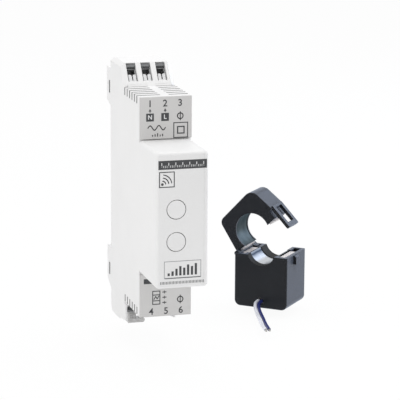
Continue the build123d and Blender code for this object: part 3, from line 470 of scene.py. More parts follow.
def finish(name, group, **values):
    """A material: one surface group, and the constants of the group and of the shader itself."""
    material = bpy.data.materials.new(name)
    material.use_nodes = True
    tree = material.node_tree
    surface = tree.nodes["Principled BSDF"]
    node = tree.nodes.new("ShaderNodeGroup")
    node.node_tree = group()
    for key, value in values.items():
        label = label_of(key)
        put((node if label in node.inputs else surface).inputs[label], value)
    put(surface.inputs["Base Color"], node.outputs["Colour"])
    put(surface.inputs["Normal"], node.outputs["Normal"])
    return material


def dress(name, group, *nodes, **values):
    """Gives nodes of the model a finish of their own."""
    material = finish(name, group, **values)
    for key in nodes:
        node = frame["nodes"][key]
        if node.material_slots:
            for slot in node.material_slots:
                slot.material = material
        else:
            node.data.materials.append(material)


def darker(tone, share):
    """A tone times a share, which lightens it where the share is over 1."""
    return (tone[0] * share, tone[1] * share, tone[2] * share, 1.0)


def placed(name, data):
    """An object in the scene that shows this data."""
    holder = bpy.data.objects.new(name, data)
    bpy.context.collection.objects.link(holder)
    return holder


def plain_mesh(holder):
    """What an object shows, as a plain mesh, which takes the object's place."""
    bpy.context.view_layer.update()
    mesh = bpy.data.meshes.new_from_object(holder.evaluated_get(bpy.context.evaluated_depsgraph_get()))
    bpy.data.objects.remove(holder)
    return mesh


# Geometry trees, each built once


def start_copies(name, **inputs):
    return start_tree("GeometryNodeTree", name, (("Geometry", "NodeSocketGeometry"),), inputs)


def end_copies(tree, base, shape, material):
    """Puts one shape on each point of a base, as real mesh."""
    spread = add(tree, "GeometryNodeInstanceOnPoints", Points=base, Instance=shape)
    real = add(tree, "GeometryNodeRealizeInstances", Geometry=spread.outputs["Instances"])
    paint = add(tree, "GeometryNodeSetMaterial", Geometry=real.outputs["Geometry"], Material=material)
    add(tree, "NodeGroupOutput", Geometry=paint.outputs["Geometry"])
    return tree


@cache
def bar_row():
    """Equal bars in a row."""
    tree, given = start_copies("row of bars", count=LOUVRE_COUNT, first=(0.0, 0.0, 0.0), step=(0.0, 0.0, 0.0),
                               size=(0.0, 0.0, 0.0), material=None)
    row = add(tree, "GeometryNodeMeshLine", Count=given["Count"], Start_Location=given["First"],
              Offset=given["Step"])
    one = add(tree, "GeometryNodeMeshCube", Size=given["Size"])
    return end_copies(tree, row.outputs["Mesh"], one.outputs["Mesh"], given["Material"])


@cache
def strand_ring():
    """One upright strand in the middle and a ring of them round it."""
    tree, given = start_copies("ring of strands", ring=STRAND_RING, thickness=0.00025, length=0.0016,
                               material=None)
    ring = add(tree, "GeometryNodeMeshCircle", fill_type="TRIANGLE_FAN", Vertices=given["Ring"],
               Radius=given["Thickness"])
    one = add(tree, "GeometryNodeMeshCylinder", Vertices=STRAND_SIDES,
              Radius=calc(tree, "MULTIPLY", given["Thickness"], 0.5), Depth=given["Length"])
    return end_copies(tree, ring.outputs["Mesh"], one.outputs["Mesh"], given["Material"])


def grown(name, tree, **values):
    """The plain mesh that a tree makes with these values. Sizes in metres."""
    holder = placed(name, bpy.data.meshes.new(name + " start"))
    modifier = holder.modifiers.new(tree.name, "NODES")
    modifier.node_group = tree
    for socket in tree.interface.items_tree:
        if socket.in_out == "INPUT":
            modifier[socket.identifier] = values[socket.name.lower()]
    mesh = plain_mesh(holder)
    mesh.name = name
    return mesh


# Mesh helpers


def piece_from(name, mesh, material):
    """Puts a finished mesh in the scene as a piece of the meter."""
    mesh.materials.clear()
    mesh.materials.append(material)
    piece = placed(name, mesh)
    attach(piece, "meter")
    return piece


def drawn_piece(name, bm, material):
    """Turns drawn faces into a piece, all facing outwards."""
    bmesh.ops.recalc_face_normals(bm, faces=bm.faces)
    mesh = bpy.data.meshes.new(name)
    bm.to_mesh(mesh)
    bm.free()
    return piece_from(name, mesh, material)


def loft(bm, rings):
    """A closed body through rings of points."""
    bm.faces.new(rings[0])
    bm.faces.new(rings[-1][::-1])
    for near, far in zip(rings, rings[1:]):
        for i in range(len(near)):
            j = (i + 1) % len(near)
            bm.faces.new((near[j], near[i], far[i], far[j]))


class Ink:
    """A print on a face that looks to the front, drawn in X and Z. Sizes in mm."""

    def __init__(self, face, look):
        self.bm = bmesh.new()
        self.face, self.film, self.line = face * MM, look.film, look.line / MM
        self.swell = look.swell

    def prism(self, points):
        """A thin plate of ink."""
        loft(self.bm, [[self.bm.verts.new((x * MM, y, z * MM)) for x, z in points]
                       for y in (self.face - self.film, self.face)])

    def bar(self, x0, x1, z0, z1):
        self.prism([(x0, z0), (x1, z0), (x1, z1), (x0, z1)])

    def outline(self, x0, x1, z0, z1, share=1.0):
        """A drawn rectangle, with its line a share of the usual width."""
        line = self.line * share
        self.bar(x0, x1, z1 - line, z1)
        self.bar(x0, x1, z0, z0 + line)
        self.bar(x0, x0 + line, z0 + line, z1 - line)
        self.bar(x1 - line, x1, z0 + line, z1 - line)

    def stroke(self, points):
        """A drawn line through points, each run a thin bar of its own."""
        half = self.line / 2
        for (ax, az), (bx, bz) in zip(points, points[1:]):
            run = math.hypot(bx - ax, bz - az)
            ux, uz = (bx - ax) / run * half, (bz - az) / run * half
            self.prism([(ax - ux + uz, az - uz - ux), (bx + ux + uz, bz + uz - ux),
                        (bx + ux - uz, bz + uz + ux), (ax - ux - uz, az - uz + ux)])

    def arc(self, x, z, radius, start, end, count):
        """A drawn arc through a count of points, with angles in degrees."""
        turns = [math.radians(start + (end - start) * i / (count - 1)) for i in range(count)]
        self.stroke([(x + radius * math.cos(a), z + radius * math.sin(a)) for a in turns])

    def letters(self, text, x, z, height):
        """Plain characters centred on a point."""
        curve = bpy.data.curves.new("characters", "FONT")
        curve.body = text
        curve.align_x = curve.align_y = "CENTER"
        curve.size = height * MM * TYPE_SIZE
        curve.extrude = self.film / 2
        curve.offset = self.swell
        mesh = plain_mesh(placed("characters", curve))
        mesh.transform(Matrix.Translation((x * MM, self.face - self.film / 2, z * MM))
                       @ Matrix.Rotation(math.radians(90.0), 4, "X"))
        self.bm.from_mesh(mesh)
        bpy.data.curves.remove(curve)
        bpy.data.meshes.remove(mesh)

    def row(self, name, material, count, x, step, z, width, high, layer=1.0):
        """A piece of its own: equal upright marks in a row, their middles a share of the film proud."""
        mesh = grown(name, bar_row(), count=count, first=(x * MM, self.face - self.film * layer, z * MM),
                     step=(step * MM, 0.0, 0.0), size=(width * MM, self.film, high * MM), material=material)
        piece_from(name, mesh, material)

    def piece(self, name, material):
        """Ends the drawing as a piece."""
        drawn_piece(name, self.bm, material)


# Operators


class DressHousing(bpy.types.Operator):
    """White moulded tray and cover"""

    bl_idname = "meter.dress_housing"
    bl_label = "Housing"

    def execute(self, context):
        look = context.scene.meter_housing
        dress(
            "moulded white", moulded, "housing_tray", "side_cover", light=look.shell, deep=look.shell_deep,
            flow_scale=45.0, grain_scale=2600.0, grain_depth=look.grain, edge=look.edge,
            roughness=look.roughness, specular_ior_level=0.42)
        return {"FINISHED"}


class DressLouvres(bpy.types.Operator):
    """Painted shadow in the louvre slots, and the sills under the upper terminals"""

    bl_idname = "meter.dress_louvres"
    bl_label = "Louvres"

    def execute(self, context):
        look = context.scene.meter_housing
        # Painted shadow: dark bars set just under the face in each louvre slot stand in for the shade in it.
        dark = finish(
            "slot shadow", moulded, light=look.slot, deep=darker(look.slot, 0.8), grain_scale=2400.0,
            grain_depth=look.grain, edge=0.00003, roughness=0.7, specular_ior_level=0.2)
        sink = look.slot_sink / MM
        corner = PLATE_EDGE - LOUVRE_CUT
        for row, step, sign in (("upper", TOP_STEP, 1), ("lower", BOTTOM_STEP, -1)):
            face, side = ((sign * (step - (depth + sink) / 2), depth - sink - LOUVRE_PLAY)
                          for depth in (LOUVRE_CUT, LOUVRE_DROP))
            for place, x0, x1, (z, high) in (
                    ("left", LOUVRE_PLAY - corner, LOUVRE_RIB[0] - LOUVRE_PLAY, face),
                    ("right", LOUVRE_RIB[1] + LOUVRE_PLAY, corner - LOUVRE_PLAY, face),
                    ("left_side", sink - PLATE_EDGE, -corner, side),
                    ("right_side", corner, PLATE_EDGE - sink, side)):
                name = "louvre_slot_shadows_%s_%s" % (row, place)
                mesh = grown(
                    name, bar_row(), count=LOUVRE_COUNT, step=(0.0, -LOUVRE_PITCH * MM, 0.0), material=dark,
                    first=((x0 + x1) / 2 * MM, (LOUVRE_WIDTH / 2 - LOUVRE_FIRST) * MM, z * MM),
                    size=((x1 - x0) * MM, (LOUVRE_WIDTH - 2 * LOUVRE_PLAY) * MM, high * MM))
                piece_from(name, mesh, dark)
        bm = bmesh.new()
        self.sill(bm, -corner, LOUVRE_RIB[0])
        self.sill(bm, LOUVRE_RIB[1], corner)
        white = frame["nodes"]["housing_tray"].material_slots[0].material
        drawn_piece("terminal_sills", bm, white)
        return {"FINISHED"}

    def sill(self, bm, x0, x1):
        """A wedge that carries the slope down to the step, behind the first slot."""
        back = LOUVRE_WIDTH - LOUVRE_FIRST - SILL_GAP
        rise = (back + SLOPE_FOOT) * SLOPE_RISE
        root = TOP_STEP - SILL_ROOT
        loft(bm, [[bm.verts.new((x * MM, y * MM, z * MM)) for y, z in (
            (-SLOPE_FOOT, root), (back, root), (back, TOP_STEP + rise - SILL_GAP))] for x in (x0, x1)])


class DressPlates(bpy.types.Operator):
    """Grey terminal plates"""

    bl_idname = "meter.dress_plates"
    bl_label = "Terminal plates"

    def execute(self, context):
        look = context.scene.meter_housing
        dress(
            "moulded plate grey", moulded, "terminal_plate_upper", "terminal_plate_lower", light=look.plate,
            deep=darker(look.plate, 0.96), flow_scale=70.0, grain_scale=2200.0, grain_depth=look.grain,
            edge=look.edge, roughness=0.5, specular_ior_level=0.4)
        return {"FINISHED"}


class DressKeys(bpy.types.Operator):
    """The two round keys, their plungers and switches"""

    bl_idname = "meter.dress_keys"
    bl_label = "Keys"

    def execute(self, context):
        look = context.scene.meter_housing
        dress(
            "key white", moulded, "button_upper", "button_lower", light=look.shell, deep=look.shell_deep,
            flow_scale=120.0, grain_scale=3200.0, grain_depth=look.grain, edge=0.0001, roughness=0.4,
            specular_ior_level=0.45)
        dress(
            "switch plunger black", moulded, "switch_plunger_upper", "switch_plunger_lower",
            light=(0.02, 0.02, 0.022, 1.0), deep=(0.014, 0.014, 0.016, 1.0), grain_scale=3000.0,
            grain_depth=0.000008, edge=0.00015, roughness=0.35)
        dress(
            "switch case cream", speckled, "tact_switch_upper", "tact_switch_lower",
            light=(0.56, 0.54, 0.46, 1.0), deep=(0.46, 0.44, 0.37, 1.0), grain_scale=1800.0, roughness=0.5)
        return {"FINISHED"}


class DressTerminals(bpy.types.Operator):
    """Cages, leaves and insulating blocks of the six terminals"""

    bl_idname = "meter.dress_terminals"
    bl_label = "Terminals"

    def execute(self, context):
        look = context.scene.meter_metal
        cages, leaves = (["terminal_%s_%d" % (kind, i) for i in range(1, 7)] for kind in ("cage", "leaf"))
        dress(
            "terminal cage plated", brushed, *cages, light=look.steel, deep=darker(look.steel, 0.8),
            stretch=(1.0, 1.0, 0.12), line_scale=2600.0, edge=0.00012, metallic=1.0, roughness=0.38)
        dress(
            "terminal leaf bright", brushed, *leaves, light=look.spring, deep=darker(look.spring, 0.82),
            stretch=(1.0, 0.15, 0.15), line_scale=3400.0, metallic=0.75, roughness=0.34)
        dress(
            "terminal block grey", moulded, "terminal_block_upper", "terminal_block_lower",
            light=(0.190, 0.196, 0.200, 1.0), deep=(0.160, 0.165, 0.170, 1.0), grain_scale=1800.0,
            roughness=0.55)
        return {"FINISHED"}


class DressClip(bpy.types.Operator):
    """Rail clip, its spring, and the keys that hold the cover"""

    bl_idname = "meter.dress_clip"
    bl_label = "Rail clip"

    def execute(self, context):
        look = context.scene.meter_housing
        dress(
            "clip grey", moulded, "rail_clip", light=look.clip, deep=darker(look.clip, 0.9), flow_scale=150.0,
            grain_scale=2000.0, grain_depth=look.grain, edge=look.edge, roughness=0.48)
        # Painted shade: the keys are dark grey so that the slits round them read as shadowed.
        dress(
            "snap key painted shade", moulded, "snap_key_upper", "snap_key_lower", light=look.snap_key,
            deep=darker(look.snap_key, 0.8), flow_scale=160.0, grain_scale=2000.0, grain_depth=look.grain,
            edge=look.edge, roughness=0.5)
        tone = context.scene.meter_metal.spring
        steel = finish(
            "clip spring steel", brushed, light=tone, deep=darker(tone, 0.75), stretch=(0.1, 1.0, 1.0),
            line_scale=4000.0, edge=0.00006, metallic=1.0, roughness=0.3)
        self.spring(steel)
        return {"FINISHED"}

    def spring(self, steel):
        """A flat strip wound to and fro with round turns."""
        low, high = (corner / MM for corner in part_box(CLIP_SPRING))
        half = SPRING_STRIP / 2
        radius = (high.z - low.z - SPRING_STRIP) / (SPRING_TURNS * 2)
        reach = (high.x - low.x) / 2 - half - radius
        path = [(0.0, low.z + half, 0.0)]
        for i in range(SPRING_TURNS):
            side = 1 if i % 2 == 0 else -1
            middle = low.z + half + radius * (i * 2 + 1)
            for j in range(SPRING_STEPS + 1):
                turn = math.pi * j / SPRING_STEPS
                lean = turn if side > 0 else math.pi - turn
                across = side * (reach + radius * math.sin(turn))
                path.append((across, middle - radius * math.cos(turn), lean))
        path.append((0.0, high.z - half, 0.0 if SPRING_TURNS % 2 == 0 else math.pi))
        bm = bmesh.new()
        loft(bm, [[bm.verts.new(((x - math.sin(lean) * s) * MM, y * MM, (z + math.cos(lean) * s) * MM))
                   for s, y in ((half, low.y), (-half, low.y), (-half, high.y), (half, high.y))]
                  for x, z, lean in path])
        strip = drawn_piece("clip_spring_strip", bm, steel)
        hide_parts(CLIP_SPRING)
        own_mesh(strip)


class DressBoards(bpy.types.Operator):
    """Boards and the parts on them"""

    bl_idname = "meter.dress_boards"
    bl_label = "Boards"

    def execute(self, context):
        metal = context.scene.meter_metal
        dress(
            "board green", etched, "main_board", "button_board", mask=(0.012, 0.085, 0.035, 1.0),
            track=(0.022, 0.14, 0.055, 1.0), pad=(0.56, 0.53, 0.46, 1.0), track_scale=240.0, roughness=0.3,
            specular_ior_level=0.5)
        dress(
            "pressed ferrite", speckled, "transformer_core", light=(0.060, 0.060, 0.066, 1.0),
            deep=(0.022, 0.022, 0.025, 1.0), grain_scale=1600.0, grain_depth=0.00002, edge=0.0003,
            roughness=0.55, metallic=0.3)
        dress(
            "winding tape yellow", wound, "transformer_winding", crest=(0.56, 0.36, 0.04, 1.0),
            valley=(0.42, 0.25, 0.02, 1.0), turns=700.0, roughness=0.3)
        dress(
            "film capacitor yellow", speckled, "mains_capacitor", light=(0.52, 0.36, 0.05, 1.0),
            deep=(0.44, 0.29, 0.03, 1.0), grain_scale=900.0, edge=0.0005, roughness=0.35)
        dress(
            "can sleeve dark", wound, "bulk_capacitor", "output_capacitor", crest=(0.020, 0.026, 0.050, 1.0),
            valley=(0.012, 0.016, 0.032, 1.0), axis=(1.0, 0.0, 0.0), turns=260.0, turn_depth=0.00004,
            roughness=0.22, coat_weight=0.3)
        dress(
            "dipped disc blue", speckled, "varistor", light=(0.020, 0.065, 0.230, 1.0),
            deep=(0.012, 0.040, 0.160, 1.0), grain_scale=700.0, grain_depth=0.00003, edge=0.0008,
            roughness=0.28)
        dress(
            "fuse brown", speckled, "input_fuse", light=(0.110, 0.045, 0.020, 1.0),
            deep=(0.070, 0.026, 0.012, 1.0), grain_scale=800.0, edge=0.0004, roughness=0.3)
        dress(
            "chip black", speckled, "controller_chip", "metering_chip", "optocoupler",
            light=(0.022, 0.022, 0.024, 1.0), deep=(0.012, 0.012, 0.014, 1.0), grain_scale=2600.0,
            roughness=0.5)
        dress(
            "radio shield tinned", brushed, "radio_module", light=metal.tin, deep=darker(metal.tin, 0.8),
            stretch=(1.0, 0.2, 1.0), line_scale=1800.0, edge=0.0002, metallic=1.0, roughness=0.36)
        dress(
            "aerial copper", brushed, "radio_antenna", light=metal.copper, deep=darker(metal.copper, 0.7),
            stretch=(1.0, 1.0, 0.1), line_depth=0.000003, metallic=1.0, roughness=0.32)
        return {"FINISHED"}


class DressClamp(bpy.types.Operator):
    """Black shells of the current clamp, what lies in them, and painted shade on the rims of its window"""

    bl_idname = "meter.dress_clamp"
    bl_label = "Clamp shells"

    def execute(self, context):
        look = context.scene.meter_clamp
        dress(
            "clamp black", moulded, "clamp_base_shell", "clamp_jaw_shell", light=look.black,
            deep=darker(look.black, 0.7), flow_scale=90.0, grain_scale=1400.0, grain_depth=0.000004,
            edge=look.edge, roughness=look.roughness, specular_ior_level=look.gloss, sheen_weight=look.bloom,
            sheen_roughness=0.5, sheen_tint=look.bloom_tone)
        dress(
            "clamp inner black", moulded, "clamp_base_cover", "clamp_bobbin", "clamp_lead_seal",
            light=(0.012, 0.012, 0.013, 1.0), deep=(0.008, 0.008, 0.009, 1.0), flow_scale=120.0,
            grain_scale=2000.0, edge=0.00015, roughness=0.5)
        # Painted shade: the clamp black without its haze, for the rims of the window.
        rim = finish(
            "clamp rim painted shade", moulded, light=look.black, deep=darker(look.black, 0.7), flow_scale=90.0,
            grain_scale=1400.0, grain_depth=0.000004, edge=0.00001, roughness=0.6,
            specular_ior_level=look.gloss)
        self.shade_lining(rim)
        return {"FINISHED"}

    def shade_lining(self, material):
        """Painted shade: a thin dull black band on each rim of the window in the base, which keeps the haze off
        it.
        """
        mount = next(m for m in frame["record"]["mounts"] if m["name"] == "clamp_window")
        centre, axis = Vector(mount["pos_m"]), Vector(mount["axis"]).normalized()

        def outward(point):
            spoke = point - centre
            return spoke - axis * spoke.dot(axis)

        def faces_in(face):
            spoke = outward(face.calc_center_median())
            return spoke.length < RIM_REACH * MM and face.normal.dot(spoke.normalized()) < -RIM_FACING

        shell = bmesh.new()
        shell.from_mesh(frame["nodes"]["clamp_base_shell"].data)
        bmesh.ops.remove_doubles(shell, verts=shell.verts, dist=WELD)
        shell.normal_update()
        rims = [face for face in shell.faces if faces_in(face)]
        bm = bmesh.new()
        skins = {}
        for vert in (vert for face in rims for vert in face.verts):
            if vert not in skins:
                spoke = outward(vert.co).normalized()
                skins[vert] = [bm.verts.new(vert.co - spoke * rise * MM) for rise in RIM_BAND]
        for face in rims:
            bm.faces.new([skins[vert][0] for vert in reversed(face.verts)])
            bm.faces.new([skins[vert][1] for vert in face.verts])
            for loop in face.loops:
                if sum(other in rims for other in loop.edge.link_faces) == 1:
                    a, b = skins[loop.vert], skins[loop.link_loop_next.vert]
                    bm.faces.new((a[0], b[0], b[1], a[1]))
        shell.free()
        drawn_piece("clamp_window_rim_shade", bm, material)


class DressCore(bpy.types.Operator):
    """Core, sleeves, winding and leaf of the current clamp"""

    bl_idname = "meter.dress_core"
    bl_label = "Clamp core"

    def execute(self, context):
        look = context.scene.meter_metal
        dress(
            "core ground faces", brushed, "clamp_base_core", "clamp_jaw_core", light=look.pole,
            deep=darker(look.pole, 0.86), stretch=(0.25, 1.0, 1.0), line_scale=2200.0, line_depth=0.000005,
            edge=0.0002, metallic=0.3, roughness=0.45)
        # Painted reflection: bright and dark bands round the sleeve, placed by turns and shift, stand in for what
        # it mirrors.
        dress(
            "sleeve painted reflections", wound, "clamp_base_sleeve", crest=look.sleeve, valley=look.sleeve_painted_reflection,
            turns=294.0, turn_depth=0.0, wander=0.1, shift=-0.657, metallic=1.0, roughness=0.30,
            specular_tint=(0.5, 0.55, 0.6, 1.0))
        dress(
            "sleeve dark", brushed, "clamp_jaw_sleeve", light=look.dark_sleeve,
            deep=darker(look.dark_sleeve, 0.6), stretch=(0.5, 0.5, 0.2), line_scale=700.0,
            line_depth=0.000003, metallic=1.0, roughness=0.42, specular_tint=(0.35, 0.40, 0.44, 1.0))
        dress(
            "coil copper", wound, "clamp_winding", crest=look.copper, valley=darker(look.copper, 0.35),
            axis=(0.7604, -0.6494, 0.0), turns=6000.0, metallic=0.8, roughness=0.35)
        dress(
            "core leaf steel", brushed, "clamp_core_spring", light=look.spring, deep=darker(look.spring, 0.8),
            stretch=(0.2, 1.0, 1.0), edge=0.00005, metallic=1.0, roughness=0.3)
        return {"FINISHED"}


def strand_tip(name, material, start, aim, look):
    """Bared strands, twisted a little on their way."""
    mesh = grown(name, strand_ring(), ring=STRAND_RING, thickness=look.strand, length=look.bared,
                 material=material)
    for vertex in mesh.vertices:
        turn = (vertex.co.z / look.bared + 0.5) * STRAND_LAY
        vertex.co = Matrix.Rotation(turn, 3, "Z") @ vertex.co
    turned = aim.to_track_quat("Z", "Y").to_matrix().to_4x4()
    mesh.transform(Matrix.Translation(start + aim * look.bared / 2) @ turned)
    return piece_from(name, mesh, material)


class LayLeads(bpy.types.Operator):
    """The two leads and their bared ends"""

    bl_idname = "meter.lay_leads"
    bl_label = "Leads"

    def execute(self, context):
        look = context.scene.meter_lead
        tin = context.scene.meter_metal.tin
        strands = finish(
            "tinned strands", brushed, light=tin, deep=darker(tin, 0.7), stretch=(1.0, 0.2, 1.0),
            line_scale=5000.0, line_depth=0.000003, edge=0.00003, metallic=1.0, roughness=0.35)
        leads = (("lead_white", WHITE_ROUTE, look.white, look.white_length),
                 ("lead_blue", BLUE_ROUTE, look.blue, look.blue_length))
        for name, route, tone, real_length in leads:
            skin = finish(
                name.replace("_", " ") + " skin", moulded, light=tone, deep=darker(tone, 0.9),
                flow_scale=300.0, grain_scale=4000.0, grain_depth=0.000006, edge=0.00002, roughness=0.36,
                specular_ior_level=0.5)
            curve = bpy.data.curves.new(name + "_insulation", "CURVE")
            curve.dimensions = "3D"
            curve.bevel_depth = look.diameter / 2
            curve.bevel_resolution = 5
            curve.resolution_u = 12
            curve.use_fill_caps = True
            spline = curve.splines.new("NURBS")
            spline.points.add(len(route) - 1)
            for point, place in zip(spline.points, route):
                point.co = (*place, 1.0)
            spline.order_u = 3
            spline.use_endpoint_u = True
            curve.materials.append(skin)
            lead = placed(name + "_insulation", curve)
            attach(lead, "meter")
            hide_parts(name)
            end, before = Vector(route[-1]), Vector(route[-2])
            tip = strand_tip(name + "_strands", strands, end, (end - before).normalized(), look)
            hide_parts(name + "_tip")
        return {"FINISHED"}


def print_inks(look):
    """Dark and faint ink, and the white that stays open in a dark field."""
    return [finish("ink " + name, inked, ink=tone, thin=darker(tone, share), roughness=0.45)
            for name, tone, share in (
                ("dark", look.ink, 1.9), ("faint", look.faint, 1.25), ("knocked out", look.paper, 0.92))]


class PrintNose(bpy.types.Operator):
    """Generic marks on the nose: a scale bar, a signal frame, a bar chart and a fine rule"""

    bl_idname = "meter.print_nose"
    bl_label = "Nose print"

    def execute(self, context):
        look = context.scene.meter_print
        dark, faint, open_white = print_inks(look)
        self.scale(look, dark, open_white)
        self.signal(look, dark)
        self.chart(look, dark, faint)
        return {"FINISHED"}

    def scale(self, look, dark, open_white):
        """A dark bar with a scale left open in it, every fourth tick a tall one."""
        field = Ink(NOSE_FACE, look)
        field.bar(*SCALE_FIELD)
        field.piece("nose_scale_bar", dark)
        first, last = SCALE_ENDS
        step = (last - first) / (look.ticks - 1)
        field.row("nose_scale_ticks", open_white, look.ticks, first, step, *SCALE_TICK)
        field.row("nose_scale_marks", open_white, look.ticks // 4 + 1, first, 4 * step, *SCALE_MARK)

    def signal(self, look, dark):
        """Three arcs spreading from a dot, in a frame."""
        frame_ink = Ink(NOSE_FACE, look)
        frame_ink.outline(*SIGNAL_FRAME)
        for radius in SIGNAL_ARCS:
            frame_ink.arc(*SIGNAL_FOOT, radius, 8.0, 82.0, 9)
        frame_ink.arc(*SIGNAL_FOOT, SIGNAL_DOT, 0.0, 360.0, 9)
        frame_ink.piece("nose_signal_frame", dark)

    def chart(self, look, dark, faint):
        """Columns on a base line, in a faint frame, over a fine rule."""
        edge = Ink(NOSE_FACE, look)
        edge.outline(*CHART_FRAME, 0.7)
        edge.piece("nose_chart_frame", faint)
        columns = Ink(NOSE_FACE, look)
        first, foot, pitch, width = CHART_COLUMNS
        for i, height in enumerate(CHART_HEIGHTS):
            x = first + i * pitch
            columns.bar(x, x + width, foot, foot + height)
        columns.bar(*CHART_BASE)
        columns.piece("nose_chart_bars", dark)
        columns.row("nose_rule_ticks", dark, *RULE_TICKS, 0.5)


class PrintPlates(bpy.types.Operator):
    """Terminal numbers, arrows and plain signs on both plates"""

    bl_idname = "meter.print_plates"
    bl_label = "Plate print"

    def execute(self, context):
        look = context.scene.meter_print
        dark, _, open_white = print_inks(look)
        digit = look.digit / MM
        signs = Ink(PLATE_FACE, look)
        for i, x in enumerate(TERMINAL_X):
            signs.letters(str(i + 1), x, UPPER_DIGITS, digit)
            signs.letters(str(i + 4), x + LOWER_SHIFT, LOWER_DIGITS, digit)
        for x in TERMINAL_X[:2]:
            self.mark_over_field(signs, x)
        for x, z in CLAMP_SIGNS:
            self.clamp_sign(signs, x, z)
        self.wave(signs, *MAINS_WAVE)
        first, pitch, width, foot = LOAD_COLUMNS
        for i, top in enumerate(LOAD_TOPS):
            signs.bar(first + i * pitch, first + i * pitch + width, foot, top)
        for area in DOUBLE_FRAME:
            signs.outline(*area)
        signs.bar(*RATING_FIELD)
        self.register_sign(signs, *REGISTER)
        half = signs.line / 2
        left, right, rise = CROSS_POST
        for z in CROSSES:
            signs.bar(*CROSS_ARM, z - half, z + half)
            signs.bar(left, right, z - rise, z + rise)
        signs.piece("plate_signs", dark)
        marks = Ink(PLATE_FACE - look.film / MM, look)
        for mark, x in zip("NL", TERMINAL_X):
            marks.letters(mark, x, OPEN_LETTERS, digit * OPEN_SHARE)
        marks.piece("plate_open_letters", open_white)
        return {"FINISHED"}

    def mark_over_field(self, ink, x):
        """An upward arrow over the dark field that a letter stays open in."""
        half, foot, tip = ARROW_HEAD
        ink.prism([(x - half, foot), (x + half, foot), (x, tip)])
        for half, low, high in (ARROW_SHAFT, OPEN_FIELD):
            ink.bar(x - half, x + half, low, high)

    def clamp_sign(self, ink, x, z):
        """A ring round a wire: the current clamp's terminals."""
        radius, reach = CLAMP_SIGN
        ink.arc(x, z, radius, 0.0, 360.0, 17)
        ink.stroke([(x, z - reach), (x, z + reach)])

    def wave(self, ink, x0, x1, z, height):
        """Two periods of a sine."""
        turns = [i / WAVE_STEPS for i in range(WAVE_STEPS + 1)]
        ink.stroke([(x0 + (x1 - x0) * t, z + height * math.sin(4 * math.pi * t)) for t in turns])

    def register_sign(self, ink, x0, x1, z0, z1):
        """A counter with two windows and a line of small marks."""
        ink.outline(x0, x1, z0, z1)
        middle = (z0 + z1) / 2
        for low in (middle + 0.8, middle - 0.9 - ink.line):
            ink.bar(x0 + ink.line, x1 - ink.line, low, low + ink.line)
        ink.stroke([(x0 + 0.6, middle - 0.5), (x0 + 1.2, middle + 0.4), (x1 - 1.1, middle - 0.4),
                    (x1 - 0.5, middle + 0.5)])


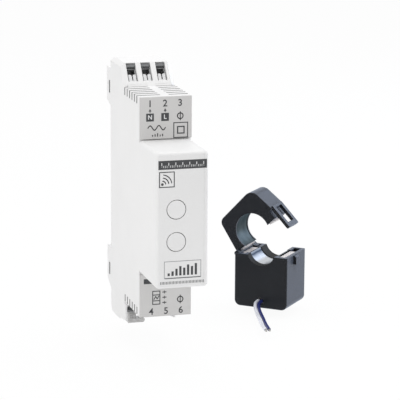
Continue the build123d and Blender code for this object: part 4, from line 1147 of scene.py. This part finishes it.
class SetStage(bpy.types.Operator):
    """Floor, world, lights and camera"""

    bl_idname = "meter.set_stage"
    bl_label = "Stage"

    def execute(self, context):
        look = context.scene.meter_stage
        self.floor(look)
        self.world(context, look)
        self.lights(look)
        self.camera(context, look)
        context.scene.view_settings.view_transform = "Standard"
        return {"FINISHED"}

    def seen_white(self, tree, shader, share):
        """Mixes plain white into what the camera, mirrors and glass see."""
        rays = tree.nodes.new("ShaderNodeLightPath").outputs
        seen = calc(tree, "MAXIMUM", rays["Is Camera Ray"], rays["Is Glossy Ray"])
        seen = calc(tree, "MAXIMUM", seen, rays["Is Transmission Ray"])
        white = add(tree, "ShaderNodeEmission", Color=WHITE_LIGHT, Strength=1.0)
        mix = add(tree, "ShaderNodeMixShader", calc(tree, "MULTIPLY", seen, share), shader,
                  white.outputs["Emission"])
        return mix.outputs["Shader"]

    def floor(self, look):
        """A wide plain sheet, low enough for the rail clip to slide down over it."""
        low = min(corner[2] for corner in cad_bounds) - clip_joint["range_m"][1] * look.room
        mesh = bpy.data.meshes.new("floor")
        corners = [(x * FLOOR_HALF, y * FLOOR_HALF, low) for x, y in ((-1, -1), (1, -1), (1, 1), (-1, 1))]
        mesh.from_pydata(corners, [], [(0, 1, 2, 3)])
        floor = placed("floor", mesh)
        material = bpy.data.materials.new("floor white")
        material.use_nodes = True
        tree = material.node_tree
        surface = tree.nodes["Principled BSDF"]
        surface.inputs["Base Color"].default_value = look.floor
        surface.inputs["Roughness"].default_value = 0.9
        surface.inputs["Specular IOR Level"].default_value = 0.1
        put(tree.nodes["Material Output"].inputs["Surface"],
            self.seen_white(tree, surface.outputs["BSDF"], look.glow))
        mesh.materials.append(material)

    def world(self, context, look):
        """Soft light from all round."""
        world = bpy.data.worlds.new("studio")
        context.scene.world = world
        world.use_nodes = True
        tree = world.node_tree
        light = tree.nodes["Background"]
        light.inputs["Color"].default_value = WHITE_LIGHT
        light.inputs["Strength"].default_value = look.ambient
        put(tree.nodes["World Output"].inputs["Surface"],
            self.seen_white(tree, light.outputs["Background"], 1.0))

    def lights(self, look):
        """Four soft lamps: each with its power, place, size and colour."""
        plain_white = WHITE_LIGHT[:3]
        for name, power, place, size, tone in (
                ("top light", look.top, (0.05, 0.02, 0.55), (0.60, 0.60), plain_white),
                ("left light", look.side, (-0.60, -0.25, 0.20), (0.50, 0.50), plain_white),
                ("right light", look.right, (0.60, -0.10, 0.30), (0.50, 0.50), plain_white),
                ("rim light", look.rim, (0.52, 0.27, 0.12), (0.35, 0.30), RIM_LIGHT)):
            lamp = bpy.data.lights.new(name, "AREA")
            lamp.shape = "RECTANGLE"
            lamp.size, lamp.size_y = size
            lamp.energy = power
            lamp.color = tone
            holder = placed(name, lamp)
            holder.location = place
            holder.rotation_euler = (LIGHT_AIM - Vector(place)).to_track_quat("-Z", "Y").to_euler()

    def camera(self, context, look):
        """A camera turned about its target, then rolled about its line of sight."""
        a, e, r = look.azimuth, look.elevation, look.roll
        back = Vector((math.sin(a) * math.cos(e), -math.cos(a) * math.cos(e), math.sin(e)))
        right = Vector((math.cos(a), math.sin(a), 0.0))
        up = back.cross(right)
        turned_right = math.cos(r) * right + math.sin(r) * up
        turned_up = math.cos(r) * up - math.sin(r) * right
        data = bpy.data.cameras.new("camera")
        data.sensor_width = 36.0
        data.lens = look.lens
        data.clip_start = 0.01
        data.clip_end = 20.0
        camera = placed("camera", data)
        turn = Matrix((turned_right, turned_up, back)).transposed().to_4x4()
        camera.matrix_world = Matrix.Translation(Vector(look.target) + back * look.distance) @ turn
        context.scene.camera = camera


STEPS = (DressHousing, DressLouvres, DressPlates, DressKeys, DressTerminals, DressClip, DressBoards,
         DressClamp, DressCore, LayLeads, PrintNose, PrintPlates, SetStage)


class MeterPanel(bpy.types.Panel):
    """Lists the steps that dress the meter and its clamp"""

    bl_idname = "VIEW3D_PT_meter"
    bl_label = "Meter and clamp"
    bl_space_type = "VIEW_3D"
    bl_region_type = "UI"
    bl_category = "Meter"

    def draw(self, context):
        for step in STEPS:
            self.layout.operator(step.bl_idname)
        for name, group in LOOKS.items():
            box = self.layout.box()
            box.label(text=group.__name__)
            for key in group.__annotations__:
                box.prop(getattr(context.scene, name), key)


def register():
    for kind in (*LOOKS.values(), *STEPS, MeterPanel):
        bpy.utils.register_class(kind)
    for name, group in LOOKS.items():
        setattr(bpy.types.Scene, name, PointerProperty(type=group))


def unregister():
    for name in LOOKS:
        delattr(bpy.types.Scene, name)
    for kind in reversed((*LOOKS.values(), *STEPS, MeterPanel)):
        bpy.utils.unregister_class(kind)


def main():
    register()
    for step in STEPS:
        category, name = step.bl_idname.split(".")
        result = getattr(getattr(bpy.ops, category), name)()
        if result != {"FINISHED"}:
            raise RuntimeError(step.bl_label + " did not finish")


if __name__ == "__main__":
    main()
